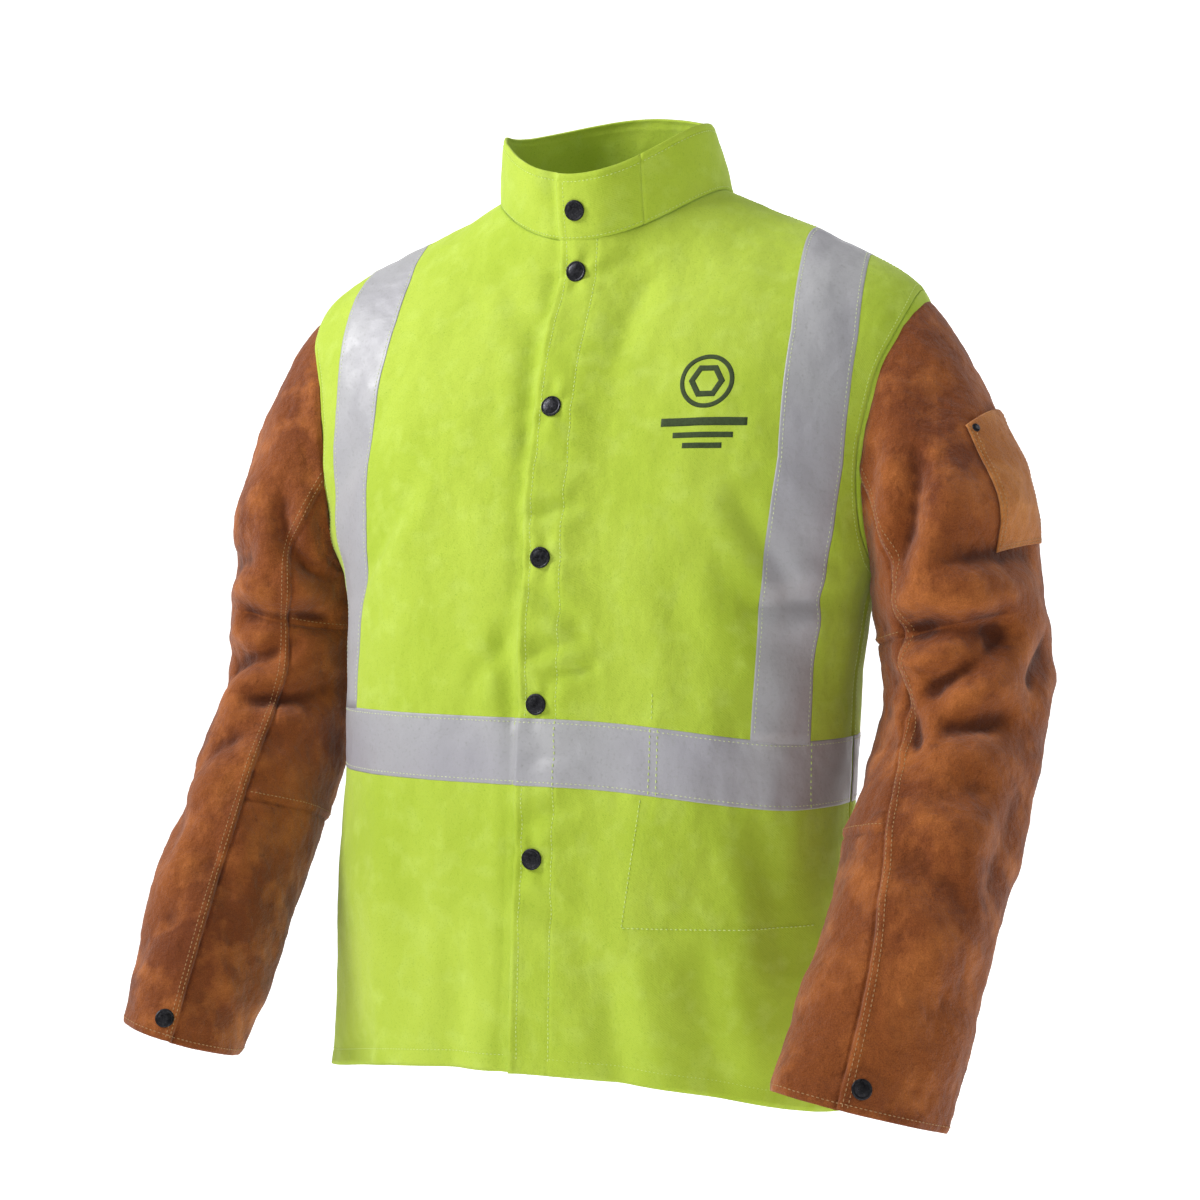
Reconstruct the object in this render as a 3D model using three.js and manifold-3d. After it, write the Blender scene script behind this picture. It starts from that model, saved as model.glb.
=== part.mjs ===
// Hybrid leather welding jacket: flame-resistant cotton body, split-leather sleeves.
// Millimetres, +Z up. Origin on the flat inner face of the hanger loop, inside the back neck.
// The front faces -Y and the wearer's left side is +X.
import * as THREE from 'three';
import Module from 'manifold-3d';

const wasm = await Module();
wasm.setup();
const { Manifold, Mesh: SolidMesh } = wasm;

// ---------- driving dimensions ----------
const BODY_LENGTH = 730;        // back neck seam to hem
const WAIST_HALF = 219;         // half the width at the waist
const CHEST_HALF = 246;         // half the width at the underarm
const SHOULDER_HALF = 262;      // half the shoulder width, seam to seam
const NECK_HALF = 98;
const BODY_DEPTH = 119;         // front half depth at the waist
const COLLAR_BACK = 82;         // stand-up collar height at the back
const CLOTH = 1.0;              // folded cotton
const LEATHER = 1.4;            // split cowhide
const TAPE_WIDTH = 52;
const TAPE = 0.8;
// tape above the cloth: clears the facets it spans, deeper on a wider tape or a steeper flare
const TAPE_RISE = 2.1 * (TAPE_WIDTH / 52) ** 2 + 0.08 * Math.abs(CHEST_HALF - WAIST_HALF - 27);
const TAPE_INSET = 27;          // shoulder tape in from the side of the waist
const TAPE_GAP = 3.4;           // between the ends of one tape and the edge of another
const PLACKET_EDGE = -15;       // free edge of the placket, X
const PLACKET_SEAM = 16;        // where the placket joins the left front
const FOLD_END = 50;            // where the left front stops bending
const UNDERLAP = 30;            // right front edge under the placket, X
const SNAP_STACK = 4.2;         // placket underside above the right front
const SNAP_CAP = 8.4;           // cap radius
const SNAP_SOCKET = 6.2;
const SNAP_STUD = 3.0;
const SHANK = 2.2;
const SHANK_CLEARANCE = 0.35;
const STUD_CLEARANCE = 0.35;
const GAP = 0.4;                // seam gap between neighbouring pieces
const CUFF_HALF = 66;
const ELBOW_HALF = 64;
const ELBOW_DROP = 396;         // elbow and cuff below the neck seam
const CUFF_DROP = 700;
const SLEEVE_CLEARANCE = 15;    // between the sleeve and the waist
const FLATTER = 11;             // the right sleeve hangs this much flatter than the left
const LOOP_LENGTH = 64;
const LOOP_HEIGHT = 9;
const LOOP_BAND = 1.2;
const LOOP_DROP = 14;           // the loop hangs this far below the neck seam
const LOOP_BACK = 3;
const PEN_POCKET = [58, 112];
const INSIDE_POCKET = [150, 170];

const RAD = Math.PI / 180;
const V = (x, y, z) => new THREE.Vector3(x, y, z);
const lerp = (a, b, t) => a + (b - a) * t;
const smooth = (a, b, x) => {
  const t = Math.min(1, Math.max(0, (x - a) / (b - a)));
  return t * t * (3 - 2 * t);
};
const range = (a, b, n) => Array.from({ length: n + 1 }, (_, i) => a + ((b - a) * i) / n);

// ---------- torso surface ----------
// [half width, front depth, back depth, centre Y, squareness, side Z, front Z, back Z]
const L = BODY_LENGTH / 730;
const D = BODY_DEPTH / 119;
const RINGS = [
  [WAIST_HALF + 7, 126 * D, 120 * D, -124, 2.35, -722 * L, -690 * L, -730 * L],
  [WAIST_HALF + 3, 123 * D, 118 * D, -121, 2.35, -600 * L, -580 * L, -604 * L],
  [WAIST_HALF, 119 * D, 115 * D, -117, 2.35, -470 * L, -460 * L, -472 * L],
  [WAIST_HALF + 5, 120 * D, 117 * D, -108, 2.35, -350, -352, -350],
  [CHEST_HALF, 120 * D, 121 * D, -99, 2.3, -245, -252, -245],
  [SHOULDER_HALF + 4, 111 * D, 116 * D, -90, 2.2, -152, -172, -150],
  [SHOULDER_HALF, 95, 97, -81, 2.1, -84, -118, -84],
  [lerp(NECK_HALF, SHOULDER_HALF, 0.5), 79, 83, -75, 2.0, -34, -75, -40],
  [NECK_HALF, 78, 79, -72, 2.0, 5, -40, -4],
];
const COLLAR = [
  [NECK_HALF, 78, 79, -72, 2.0, 5, -40, -4],
  [NECK_HALF - 4, 74, 75, -81, 2.0, 31, -14, 0.5 * COLLAR_BACK - 4],
  [NECK_HALF - 10, 68, 71, -91, 2.0, 57, 13, COLLAR_BACK - 4],
];
const power = (c, p) => Math.sign(c) * Math.pow(Math.abs(c), p);

function ringPoint(r, phi) {
  const s = Math.sin(phi * RAD);
  const c = Math.cos(phi * RAD);
  const p = 2 / r[4];
  const front = c > 0;
  return V(
    r[0] * power(s, p),
    r[3] - (front ? r[1] : r[2]) * power(c, p),
    lerp(r[5], front ? r[6] : r[7], c * c),
  );
}

function spline(P, x) {
  const n = P.length - 1;
  const i = Math.min(Math.max(Math.floor(x), 0), n - 1);
  const u = x - i;
  const b = P[i];
  const c = P[i + 1];
  const a = i > 0 ? P[i - 1] : b.map((w, k) => 2 * w - c[k]);
  const d = i + 2 <= n ? P[i + 2] : c.map((w, k) => 2 * w - b[k]);
  return b.map((w, k) => 0.5 * (2 * w + (c[k] - a[k]) * u
    + (2 * a[k] - 5 * w + 4 * c[k] - d[k]) * u * u
    + (3 * w - a[k] - 3 * c[k] + d[k]) * u * u * u));
}

const loft = (rings) => (phi, t) => ringPoint(spline(rings, t * (rings.length - 1)), phi);
const torso = loft(RINGS);
const collar = loft(COLLAR);

function normalOf(surface, a, b, da = 0.4, db = 0.004) {
  const u = surface(a + da, b).sub(surface(a - da, b));
  const v = surface(a, b + db).sub(surface(a, b - db));
  return u.cross(v).normalize();
}
const raised = (surface, a, b, off, sign = 1) =>
  surface(a, b).addScaledVector(normalOf(surface, a, b), off * sign);

// angle at which the surface reaches a given X on the front
function angleAtX(rings, x, t) {
  const r = spline(rings, t * (rings.length - 1));
  const k = Math.min(1, Math.abs(x) / r[0]);
  return (Math.sign(x) * Math.asin(Math.pow(k, r[4] / 2))) / RAD;
}
// height parameter on the front at which the centre line reaches a given Z
function heightAtZ(z, phi = 0) {
  let lo = 0;
  let hi = 1;
  for (let k = 0; k < 40; k++) {
    const m = 0.5 * (lo + hi);
    if (torso(phi, m).z < z) lo = m;
    else hi = m;
  }
  return 0.5 * (lo + hi);
}

// armhole: an oval in angle and height
const ARM_LOW = 0.4345;
const ARM_TOP = 0.75;
const ARM_MID = 0.5 * (ARM_LOW + ARM_TOP);
const ARM_HALF = 0.5 * (ARM_TOP - ARM_LOW);
const ARM_SPREAD = 27;
function sideAngle(t) {
  const k = (t - ARM_MID) / ARM_HALF;
  return k > -1 && k < 1 ? 90 - ARM_SPREAD * Math.sqrt(1 - k * k) : 90;
}

// ---------- closed sheets and tubes ----------
function orient(g) {
  const p = g.attributes.position;
  const ix = g.index;
  let vol = 0;
  const a = V();
  const b = V();
  const c = V();
  for (let i = 0; i < ix.count; i += 3) {
    a.fromBufferAttribute(p, ix.getX(i));
    b.fromBufferAttribute(p, ix.getX(i + 1));
    c.fromBufferAttribute(p, ix.getX(i + 2));
    vol += a.dot(b.cross(c));
  }
  if (vol < 0) {
    for (let i = 0; i < ix.count; i += 3) {
      const k = ix.getX(i);
      ix.setX(i, ix.getX(i + 2));
      ix.setX(i + 2, k);
    }
  }
  g.computeVertexNormals();
  return g;
}

// a box laid over a surface: at(u, v) gives the point and the normal, low and high are offsets
function sheet(us, vs, at, low, high) {
  const nu = us.length - 1;
  const nv = vs.length - 1;
  const g = new THREE.BoxGeometry(1, 1, 1, nu, nv, 1);
  const p = g.attributes.position;
  for (let i = 0; i < p.count; i++) {
    const u = us[Math.round((p.getX(i) + 0.5) * nu)];
    const v = vs[Math.round((p.getY(i) + 0.5) * nv)];
    const [q, n] = at(u, v);
    const lo = typeof low === 'function' ? low(u, v) : low;
    const hi = typeof high === 'function' ? high(u, v) : high;
    q.addScaledVector(n, p.getZ(i) > 0 ? hi : lo);
    p.setXYZ(i, q.x, q.y, q.z);
  }
  // split the far side's cells along the near side's diagonals, so the wall keeps its thickness
  for (let i = g.index.count - 6 * nu * nv; i < g.index.count; i += 6) {
    const [a, b, d, c] = [0, 1, 2, 4].map((k) => g.index.getX(i + k));
    [a, b, c, a, c, d].forEach((corner, k) => g.index.setX(i + k, corner));
  }
  return orient(g);
}

// a torus laid over a tubular surface, so the wall is closed all the way round
function tube(count, vs, at, low, high) {
  const rows = [...vs.map((v) => [v, high]), ...[...vs].reverse().map((v) => [v, low])];
  const g = new THREE.TorusGeometry(10, 2, rows.length, count);
  const p = g.attributes.position;
  const w = count + 1;
  for (let i = 0; i < p.count; i++) {
    const [v, off] = rows[Math.floor(i / w) % rows.length];
    const [q, n] = at((360 * (i % w % count)) / count, v);
    q.addScaledVector(n, off);
    p.setXYZ(i, q.x, q.y, q.z);
  }
  return orient(g);
}

// ---------- joining and cutting ----------
function toSolid(g) {
  const p = g.attributes.position;
  const seen = new Map();
  const verts = [];
  const remap = [];
  for (let i = 0; i < p.count; i++) {
    const key = [p.getX(i), p.getY(i), p.getZ(i)].map((c) => Math.round(c * 2000)).join();
    if (!seen.has(key)) {
      seen.set(key, verts.length / 3);
      verts.push(p.getX(i), p.getY(i), p.getZ(i));
    }
    remap.push(seen.get(key));
  }
  const tris = [];
  const ix = g.index;
  for (let i = 0; i < ix.count; i += 3) {
    const t = [0, 1, 2].map((k) => remap[ix.getX(i + k)]);
    if (t[0] !== t[1] && t[1] !== t[2] && t[0] !== t[2]) tris.push(...t);
  }
  return new Manifold(new SolidMesh({
    numProp: 3, vertProperties: new Float32Array(verts), triVerts: new Uint32Array(tris),
  }));
}
function toGeometry(solid) {
  const m = solid.getMesh();
  const g = new THREE.BufferGeometry();
  const v = new Float32Array((m.vertProperties.length / m.numProp) * 3);
  for (let i = 0; i < v.length / 3; i++) {
    for (let k = 0; k < 3; k++) v[3 * i + k] = m.vertProperties[m.numProp * i + k];
  }
  g.setAttribute('position', new THREE.BufferAttribute(v, 3));
  g.setIndex(new THREE.BufferAttribute(new Uint32Array(m.triVerts), 1));
  g.computeVertexNormals();
  return g;
}
// turn a shape drawn along +Y so that +Y follows dir, and move it to point
function place(g, point, dir) {
  const q = new THREE.Quaternion().setFromUnitVectors(V(0, 1, 0), dir.clone().normalize());
  g.applyQuaternion(q);
  g.translate(point.x, point.y, point.z);
  return g;
}
// holes for rivets and snaps, with the cloth pressed flat above and below the flanges
function drilled(g, seats, radius, low, high, lowRadius, highRadius) {
  let s = toSolid(g);
  for (const [point, dir] of seats) {
    const cuts = [
      [radius, low - 4, high + 4],
      [lowRadius, low - 2.5, low - 0.15],
      [highRadius, high + 0.15, high + 2.5],
    ];
    for (const [r, from, to] of cuts) {
      const drill = new THREE.CylinderGeometry(r, r, to - from, 10).translate(0, 0.5 * (from + to), 0);
      s = s.subtract(toSolid(place(drill, point, dir)));
    }
  }
  return toGeometry(s);
}
function turned(points, segments = 8) {
  return orient(new THREE.LatheGeometry(points.map(([r, h]) => new THREE.Vector2(r, h)), segments));
}

// ---------- the scene ----------
const jacket = new THREE.Group();
jacket.name = 'welding_jacket';
function add(name, geometry, color, roughness, metalness = 0) {
  const m = new THREE.Mesh(geometry, new THREE.MeshStandardMaterial({ color, roughness, metalness }));
  m.name = name;
  jacket.add(m);
}
const LIME = 0xb2cc38;
const SILVER = 0xa9a8ab;
const RUSSET = 0x94501f;
const TAN = 0xb87438;
const GUNMETAL = 0x24252a;
const cloth = (name, g) => add(name, g, LIME, 0.9);
const tape = (name, g) => add(name, g, SILVER, 0.45, 0.2);
const leather = (name, g, c = RUSSET) => add(name, g, c, 0.88);
const metal = (name, g) => add(name, g, GUNMETAL, 0.35, 0.9);

// reflective waist tape: its centre height drops slightly toward the wearer's left
const WAIST_Z = -443 * L;
const tapeHeight = (phi) => WAIST_Z - 16 * smooth(0, 60, phi) * smooth(300, 200, phi);
const tapeT = (phi, w) => heightAtZ(tapeHeight(phi) + w * TAPE_WIDTH, phi);

// rows of the body panels, dense at both ends of the armhole
const LOW_ROWS = [0, 0.09, 0.18, tapeT(0, -0.5), tapeT(0, 0.5), 0.365, ARM_LOW];
const ARM_ROWS = range(0, 1, 8).slice(1).map((k) => ARM_MID - ARM_HALF * Math.cos(Math.PI * k));
const TOP_ROWS = [0.80, 0.85, 0.90, 0.95, 0.99];
const ROWS = [...LOW_ROWS, ...ARM_ROWS, ...TOP_ROWS];
const onTorso = (phi, t) => [torso(phi, t), normalOf(torso, phi, Math.min(t, 0.996))];
const onCollar = (phi, t) => [collar(phi, t), normalOf(collar, phi, t)];

// height of the cloth above the base surface: the placket stands over the snaps
const placketLift = (x) => lerp(SNAP_STACK + CLOTH, 0, smooth(PLACKET_SEAM - 2, FOLD_END, x));

// snap stations down the front, and one on the collar
// the fourth snap sits just above the waist tape
const SNAP_Z = [-66, -176, -293, WAIST_Z + TAPE_WIDTH / 2 + SNAP_CAP + 2.6, -525 * L];
// the cloth between two rows is flat, so each seat is taken on the flat, not on the curve
function flatSeat(surface, rows, t, off) {
  let i = 0;
  while (i < rows.length - 2 && rows[i + 1] < t) i++;
  const a = raised(surface, 0, Math.min(rows[i], 0.996), off);
  const b = raised(surface, 0, Math.min(rows[i + 1], 0.996), off);
  const n = V(1, 0, 0).cross(b.clone().sub(a)).normalize();
  const k = (t - rows[i]) / (rows[i + 1] - rows[i]);
  return [a.lerp(b, k).addScaledVector(n, -off), n];
}
const RISE = range(0.015, 1, 3);
const seatsAt = (off) => [flatSeat(collar, RISE, 0.47, off),
  ...SNAP_Z.map((z) => flatSeat(torso, ROWS, heightAtZ(z), off))];
const studSeats = seatsAt(0.5);
const capSeats = seatsAt(SNAP_STACK + 1.7 * CLOTH);
const SHANK_HOLE = SHANK + SHANK_CLEARANCE;

// right front, from the underlap to the side
const SEAM = 0.35;              // half a side seam, in degrees
function front(side, xFrom) {
  return (u, t) => {
    const a = angleAtX(RINGS, xFrom, t);
    const b = sideAngle(t) - SEAM;
    // a column of the grid runs down the line of the snaps
    return side * (u < 0.125 ? lerp(-a, 0, u * 8) : lerp(0, b, (u - 0.125) / 0.875));
  };
}
const rightAngle = front(-1, UNDERLAP);
const rightFront = sheet(range(0, 1, 8), ROWS,
  (u, t) => onTorso(rightAngle(u, t), t), 0, CLOTH);
cloth('right_front_panel', drilled(rightFront, studSeats.slice(1), SHANK_HOLE, 0, CLOTH, 5.6, 5.6));

// left front, from the end of the fold to the side
const leftAngle = (u, t) => lerp(angleAtX(RINGS, FOLD_END + GAP, t), sideAngle(t) - SEAM, u);
cloth('left_front_panel', sheet(range(0, 1, 7), ROWS,
  (u, t) => onTorso(leftAngle(u, t), t), 0, CLOTH));

// back, side to side
const backAngle = (u, t) => lerp(sideAngle(t), 360 - sideAngle(t), u);
const backU = range(0, 1, 14);
cloth('back_panel', sheet(backU, ROWS, (u, t) => {
  const a = 180 - sideAngle(t) + SEAM;
  return onTorso(lerp(a, 360 - a, u), t);
}, 0, CLOTH));

// the placket band and the part of the left front that folds when it opens
const stripAt = (rings, surface, x0, x1) => (u, t) => {
  const phi = angleAtX(rings, lerp(x0, x1, u), t);
  return [surface(phi, t), normalOf(surface, phi, Math.min(Math.max(t, 0.004), 0.996))];
};
const liftAt = (x0, x1, extra = 0) => (u) => placketLift(lerp(x0, x1, u)) + extra;
const BAND_ROWS = [...ROWS.slice(0, -1), 0.983];
cloth('placket_band', drilled(sheet(range(0, 1, 3), BAND_ROWS,
  stripAt(RINGS, torso, PLACKET_EDGE, PLACKET_SEAM), SNAP_STACK + CLOTH, SNAP_STACK + 2.4 * CLOTH),
capSeats.slice(1), SHANK_HOLE, SNAP_STACK + CLOTH, SNAP_STACK + 2.4 * CLOTH, 6.7, 8.9));
cloth('left_front_fold', sheet(range(0, 1, 3), BAND_ROWS,
  stripAt(RINGS, torso, PLACKET_SEAM + GAP, FOLD_END),
  liftAt(PLACKET_SEAM + GAP, FOLD_END), liftAt(PLACKET_SEAM + GAP, FOLD_END, CLOTH)));

// stand-up collar: one band round the neck, and its buttoning end on the placket
const END_RISE = [0.1, ...RISE.slice(1)];
const collarStart = (t) => angleAtX(COLLAR, FOLD_END + GAP, t);
const collarEnd = (t) => 360 + angleAtX(COLLAR, UNDERLAP, t);
const collarAngle = (u, t) => (u < 0.9 ? lerp(collarStart(t), 360, u / 0.9)
  : lerp(360, collarEnd(t), (u - 0.9) * 10));
cloth('collar_band', drilled(sheet(range(0, 1, 20), RISE,
  (u, t) => onCollar(collarAngle(u, t), t), 0, 1.4 * CLOTH),
studSeats.slice(0, 1), SHANK_HOLE, 0, 1.4 * CLOTH, 5.6, 5.6));
cloth('collar_snap_end', drilled(sheet(range(0, 1, 3), END_RISE,
  stripAt(COLLAR, collar, PLACKET_EDGE, PLACKET_SEAM),
  SNAP_STACK + 1.4 * CLOTH, SNAP_STACK + 2.8 * CLOTH), capSeats.slice(0, 1),
SHANK_HOLE, SNAP_STACK + 1.4 * CLOTH, SNAP_STACK + 2.8 * CLOTH, 6.7, 8.9));
cloth('collar_fold', sheet(range(0, 1, 3), END_RISE,
  stripAt(COLLAR, collar, PLACKET_SEAM + GAP, FOLD_END),
  (u) => liftAt(PLACKET_SEAM + GAP, FOLD_END, 0)(u) + 0.2,
  (u) => liftAt(PLACKET_SEAM + GAP, FOLD_END, 0)(u) + 1.4 * CLOTH + 0.2));

// hanger loop inside the back neck
{
  const half = LOOP_LENGTH / 2;
  const foot = 5.0;
  const band = new THREE.BoxGeometry(LOOP_LENGTH, LOOP_BAND, LOOP_HEIGHT);
  band.translate(0, -LOOP_BAND / 2, 0);
  let s = toSolid(band);
  for (const side of [-1, 1]) {
    const end = new THREE.BoxGeometry(5, foot + LOOP_BAND, LOOP_HEIGHT);
    end.translate(side * (half - 2.5), (foot - LOOP_BAND) / 2, 0);
    s = s.add(toSolid(end));
  }
  cloth('hanger_loop', toGeometry(s));
}

// ---------- reflective tape ----------
const tapeLow = CLOTH + TAPE_RISE;
const tapeHigh = tapeLow + TAPE;
function waistTape(name, from, to, n, lift = 0) {
  tape(name, sheet(range(0, 1, n), [-0.5, 0.5], (u, w) => {
    const phi = lerp(from(w), to(w), u);
    return onTorso(phi, tapeT(phi, w));
  }, tapeLow + lift, tapeHigh + lift));
}
const atX = (x) => (w) => angleAtX(RINGS, x, tapeT(0, w));
const liftedTape = (name, x0, x1, n) => tape(name, sheet(range(0, 1, n), [-0.5, 0.5], (u, w) => {
  const t = tapeT(angleAtX(RINGS, lerp(x0, x1, u), tapeT(0, w)), w);
  const phi = angleAtX(RINGS, lerp(x0, x1, u), t);
  return onTorso(phi, t);
}, (u) => placketLift(lerp(x0, x1, u)) + 1.4 * CLOTH + 0.5,
(u) => placketLift(lerp(x0, x1, u)) + 1.4 * CLOTH + 0.5 + TAPE));
waistTape('waist_tape_right_front', () => -89.4, (w) => angleAtX(RINGS, PLACKET_EDGE - 3, tapeT(0, w)), 9);
liftedTape('waist_tape_placket', PLACKET_EDGE, PLACKET_SEAM, 2);
liftedTape('waist_tape_fold', PLACKET_SEAM + GAP, FOLD_END, 3);
waistTape('waist_tape_left_front', atX(FOLD_END + GAP), () => 89.4, 8);
waistTape('waist_tape_back', () => 90.6, () => 269.4, 16);

// shoulder tapes: from the waist tape over the shoulder to the back
function nearest(q, phi, t) {
  for (let k = 0; k < 8; k++) {
    const p = torso(phi, t);
    const a = torso(phi + 0.2, t).sub(torso(phi - 0.2, t)).multiplyScalar(2.5);
    const b = torso(phi, t + 0.002).sub(torso(phi, t - 0.002)).multiplyScalar(250);
    const r = q.clone().sub(p);
    const aa = a.dot(a);
    const bb = b.dot(b);
    const ab = a.dot(b);
    const det = aa * bb - ab * ab;
    phi += (r.dot(a) * bb - r.dot(b) * ab) / det;
    t += (r.dot(b) * aa - r.dot(a) * ab) / det;
  }
  return [phi, t];
}
// the middle of the tape, as X, from the waist to the top of the shoulder
const TAPE_WAIST_X = WAIST_HALF - TAPE_INSET;
const TAPE_TOP_X = SHOULDER_HALF - 72;
const TAPE_X = {
  1: [[-0.8, TAPE_WAIST_X - 12], [-0.5, TAPE_WAIST_X - 3], [-0.2, TAPE_WAIST_X + 9],
    [0.2, TAPE_WAIST_X + 13], [0.9, TAPE_TOP_X + 8], [2, TAPE_TOP_X + 8]],
  '-1': [[-0.8, TAPE_WAIST_X + 5], [-0.3, TAPE_WAIST_X + 4], [0.2, TAPE_WAIST_X],
    [0.9, TAPE_TOP_X], [2, TAPE_TOP_X]],
};
function tapeCentre(angle, side) {
  // walk out from inside the shoulder until the surface narrows to the tape's X
  const hub = [90, 0.62];
  const dir = [-Math.cos(angle) * 80, Math.sin(angle) * 0.8];
  const level = Math.sin(angle);
  let i = 0;
  const line = TAPE_X[side];
  while (line[i + 1][0] < level) i++;
  const [[k0, x0], [k1, x1]] = [line[i], line[i + 1]];
  const x = lerp(x0, x1, Math.max(0, (level - k0) / (k1 - k0)));
  let lo = 0;
  let hi = 1;
  for (let n = 0; n < 40; n++) {
    const m = 0.5 * (lo + hi);
    if (torso(hub[0] + dir[0] * m, hub[1] + dir[1] * m).x > x) lo = m;
    else hi = m;
  }
  return [hub[0] + dir[0] * hi, hub[1] + dir[1] * hi];
}
// the angle at which the tape meets the top edge of the waist tape
function tapeEnd(lo, hi, side) {
  for (let n = 0; n < 30; n++) {
    const m = 0.5 * (lo + hi);
    const [phi, t] = tapeCentre(m, side);
    const real = side > 0 ? phi : (phi > 90 ? 360 : 0) - phi;
    if (torso(phi, t).z < tapeHeight(real) + TAPE_WIDTH / 2 + TAPE_GAP) lo = m;
    else hi = m;
  }
  return hi;
}
function shoulderTape(name, side) {
  const count = 26;
  const path = range(tapeEnd(-1.4, 0, side), tapeEnd(Math.PI + 1.4, Math.PI, side), count)
    .map((angle) => tapeCentre(angle, side));
  tape(name, sheet([-0.5, 0, 0.5], range(0, count, count), (u, v) => {
    const i = Math.round(v);
    const c = path[i];
    const p = torso(c[0], c[1]);
    const a = path[Math.max(0, i - 1)];
    const b = path[Math.min(count, i + 1)];
    const along = torso(b[0], b[1]).sub(torso(a[0], a[1])).normalize();
    const n = normalOf(torso, c[0], c[1]);
    const across = along.clone().cross(n).normalize();
    const q = nearest(p.addScaledVector(across, u * TAPE_WIDTH), c[0], c[1]);
    const at = torso(q[0], q[1]);
    const m = normalOf(torso, q[0], q[1]);
    at.x *= side;
    m.x *= side;
    return [at, m];
  }, tapeLow, tapeHigh));
}
shoulderTape('shoulder_tape_left', 1);
shoulderTape('shoulder_tape_right', -1);

// ---------- inside pocket on the left front ----------
{
  const top = heightAtZ(-404);
  const low = heightAtZ(-404 - INSIDE_POCKET[1]);
  const bulge = (u, v) => -0.9 - 2 * Math.sin(Math.PI * u) * smooth(0, 0.35, v);
  cloth('inside_pocket', sheet(range(0, 1, 6), range(0, 1, 5), (u, v) => {
    const t = lerp(low, top, v);
    const phi = angleAtX(RINGS, lerp(FOLD_END + 22, FOLD_END + 22 + INSIDE_POCKET[0] - 14, u), t);
    return onTorso(phi, t);
  }, (u, v) => bulge(u, v) - 2.4, (u, v) => bulge(u, v) - 1.4));
}

// ---------- sleeves ----------
// stations down each arm: centre, half width, half depth, twist, and which way "out" leans
const UNDERARM_X = lerp(WAIST_HALF + 5, CHEST_HALF, 0.48) - 6.6 + ELBOW_HALF;
const ARM_X = WAIST_HALF + SLEEVE_CLEARANCE + ELBOW_HALF;
const armZ = (k) => -lerp(ELBOW_DROP, CUFF_DROP, k);
const STATIONS = {
  1: [
    [UNDERARM_X + 2, -92, -300, ELBOW_HALF, 87, 0, 0.43, 0],
    [ARM_X + 8, -101, armZ(0), ELBOW_HALF - 1, 80, 0, 0.12, 0.06],
    [ARM_X, -165, armZ(0.316), ELBOW_HALF - 2, 72, 8, 0.03, 0.26],
    [ARM_X - 12, -230, armZ(0.645), CUFF_HALF - 5, 58, 24, -0.05, 0.3],
    [ARM_X - 26, -286, armZ(0.95), CUFF_HALF - 2, 42, 36, -0.18, 0.26],
  ],
  '-1': [
    [UNDERARM_X - FLATTER + 3, -88, -300, ELBOW_HALF - FLATTER, 88, 0, 0.43, 0],
    [ARM_X - FLATTER, -97, armZ(0), ELBOW_HALF - FLATTER, 82, 0, 0.12, 0.06],
    [ARM_X - FLATTER + 1, -160, armZ(0.316), ELBOW_HALF - FLATTER, 74, 0, 0.03, 0.26],
    [ARM_X - FLATTER + 2, -228, armZ(0.645), CUFF_HALF - 16, 66, 0, 0.12, 0.3],
    [ARM_X - FLATTER + 2, -284, armZ(0.935), CUFF_HALF - 24, 58, 0, 0.28, 0.26],
  ],
};
function sleeveSurface(side) {
  const st = STATIONS[side];
  const ring = (r, theta) => {
    const [x, y, z, hw, hd, twist, leanX, leanY] = r;
    // an ellipse twisted about the arm, then leaned so its plane crosses the arm squarely
    const out = Math.cos(theta * RAD) * hw;
    const ahead = Math.sin(theta * RAD) * hd;
    const c = Math.cos(twist * RAD);
    const w = Math.sin(twist * RAD);
    const dx = out * c + ahead * w;
    const dy = out * w - ahead * c;
    return V(x + dx * (1 - 0.25 * leanX * leanX), y + dy, z + 0.9 * leanX * dx - leanY * dy);
  };
  const seat = (theta) => {
    const phi = 90 - ARM_SPREAD * 0.975 * Math.sin(theta * RAD);
    const t = ARM_MID + ARM_HALF * 0.975 * Math.cos(theta * RAD);
    return [torso(phi, t), normalOf(torso, phi, t)];
  };
  const arm = V(0.18, -0.03, -0.98).normalize();
  return (theta, s) => {
    let p;
    if (s < 1) {
      const [a, n] = seat(theta);
      a.addScaledVector(n, 0.9);
      const b = ring(st[0], theta);
      const next = ring(spline(st, 0.15), theta).sub(b).normalize();
      const k = a.distanceTo(b) / 3;
      const out = n.clone().addScaledVector(arm, 2.2).normalize();
      const a1 = a.clone().addScaledVector(out, k);
      const b1 = b.clone().addScaledVector(next, -k);
      const w = 1 - s;
      p = a.multiplyScalar(w * w * w).addScaledVector(a1, 3 * w * w * s)
        .addScaledVector(b1, 3 * w * s * s).addScaledVector(b, s * s * s);
    } else {
      p = ring(spline(st, Math.min(s - 1, 4)), theta);
    }
    p.x *= side;
    return p;
  };
}
const UNDER_FROM = 118;         // the under-sleeve spans these angles round the arm
const UNDER_TO = 246;
const ELBOW_FROM = 1.42;
const ELBOW_TO = 2.6;
const sleeves = {};
const lowerTopAngles = range(UNDER_TO - 359.5, UNDER_FROM - 0.5, 12);
const lowerRows = range(ELBOW_TO, 5, 6);
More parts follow.
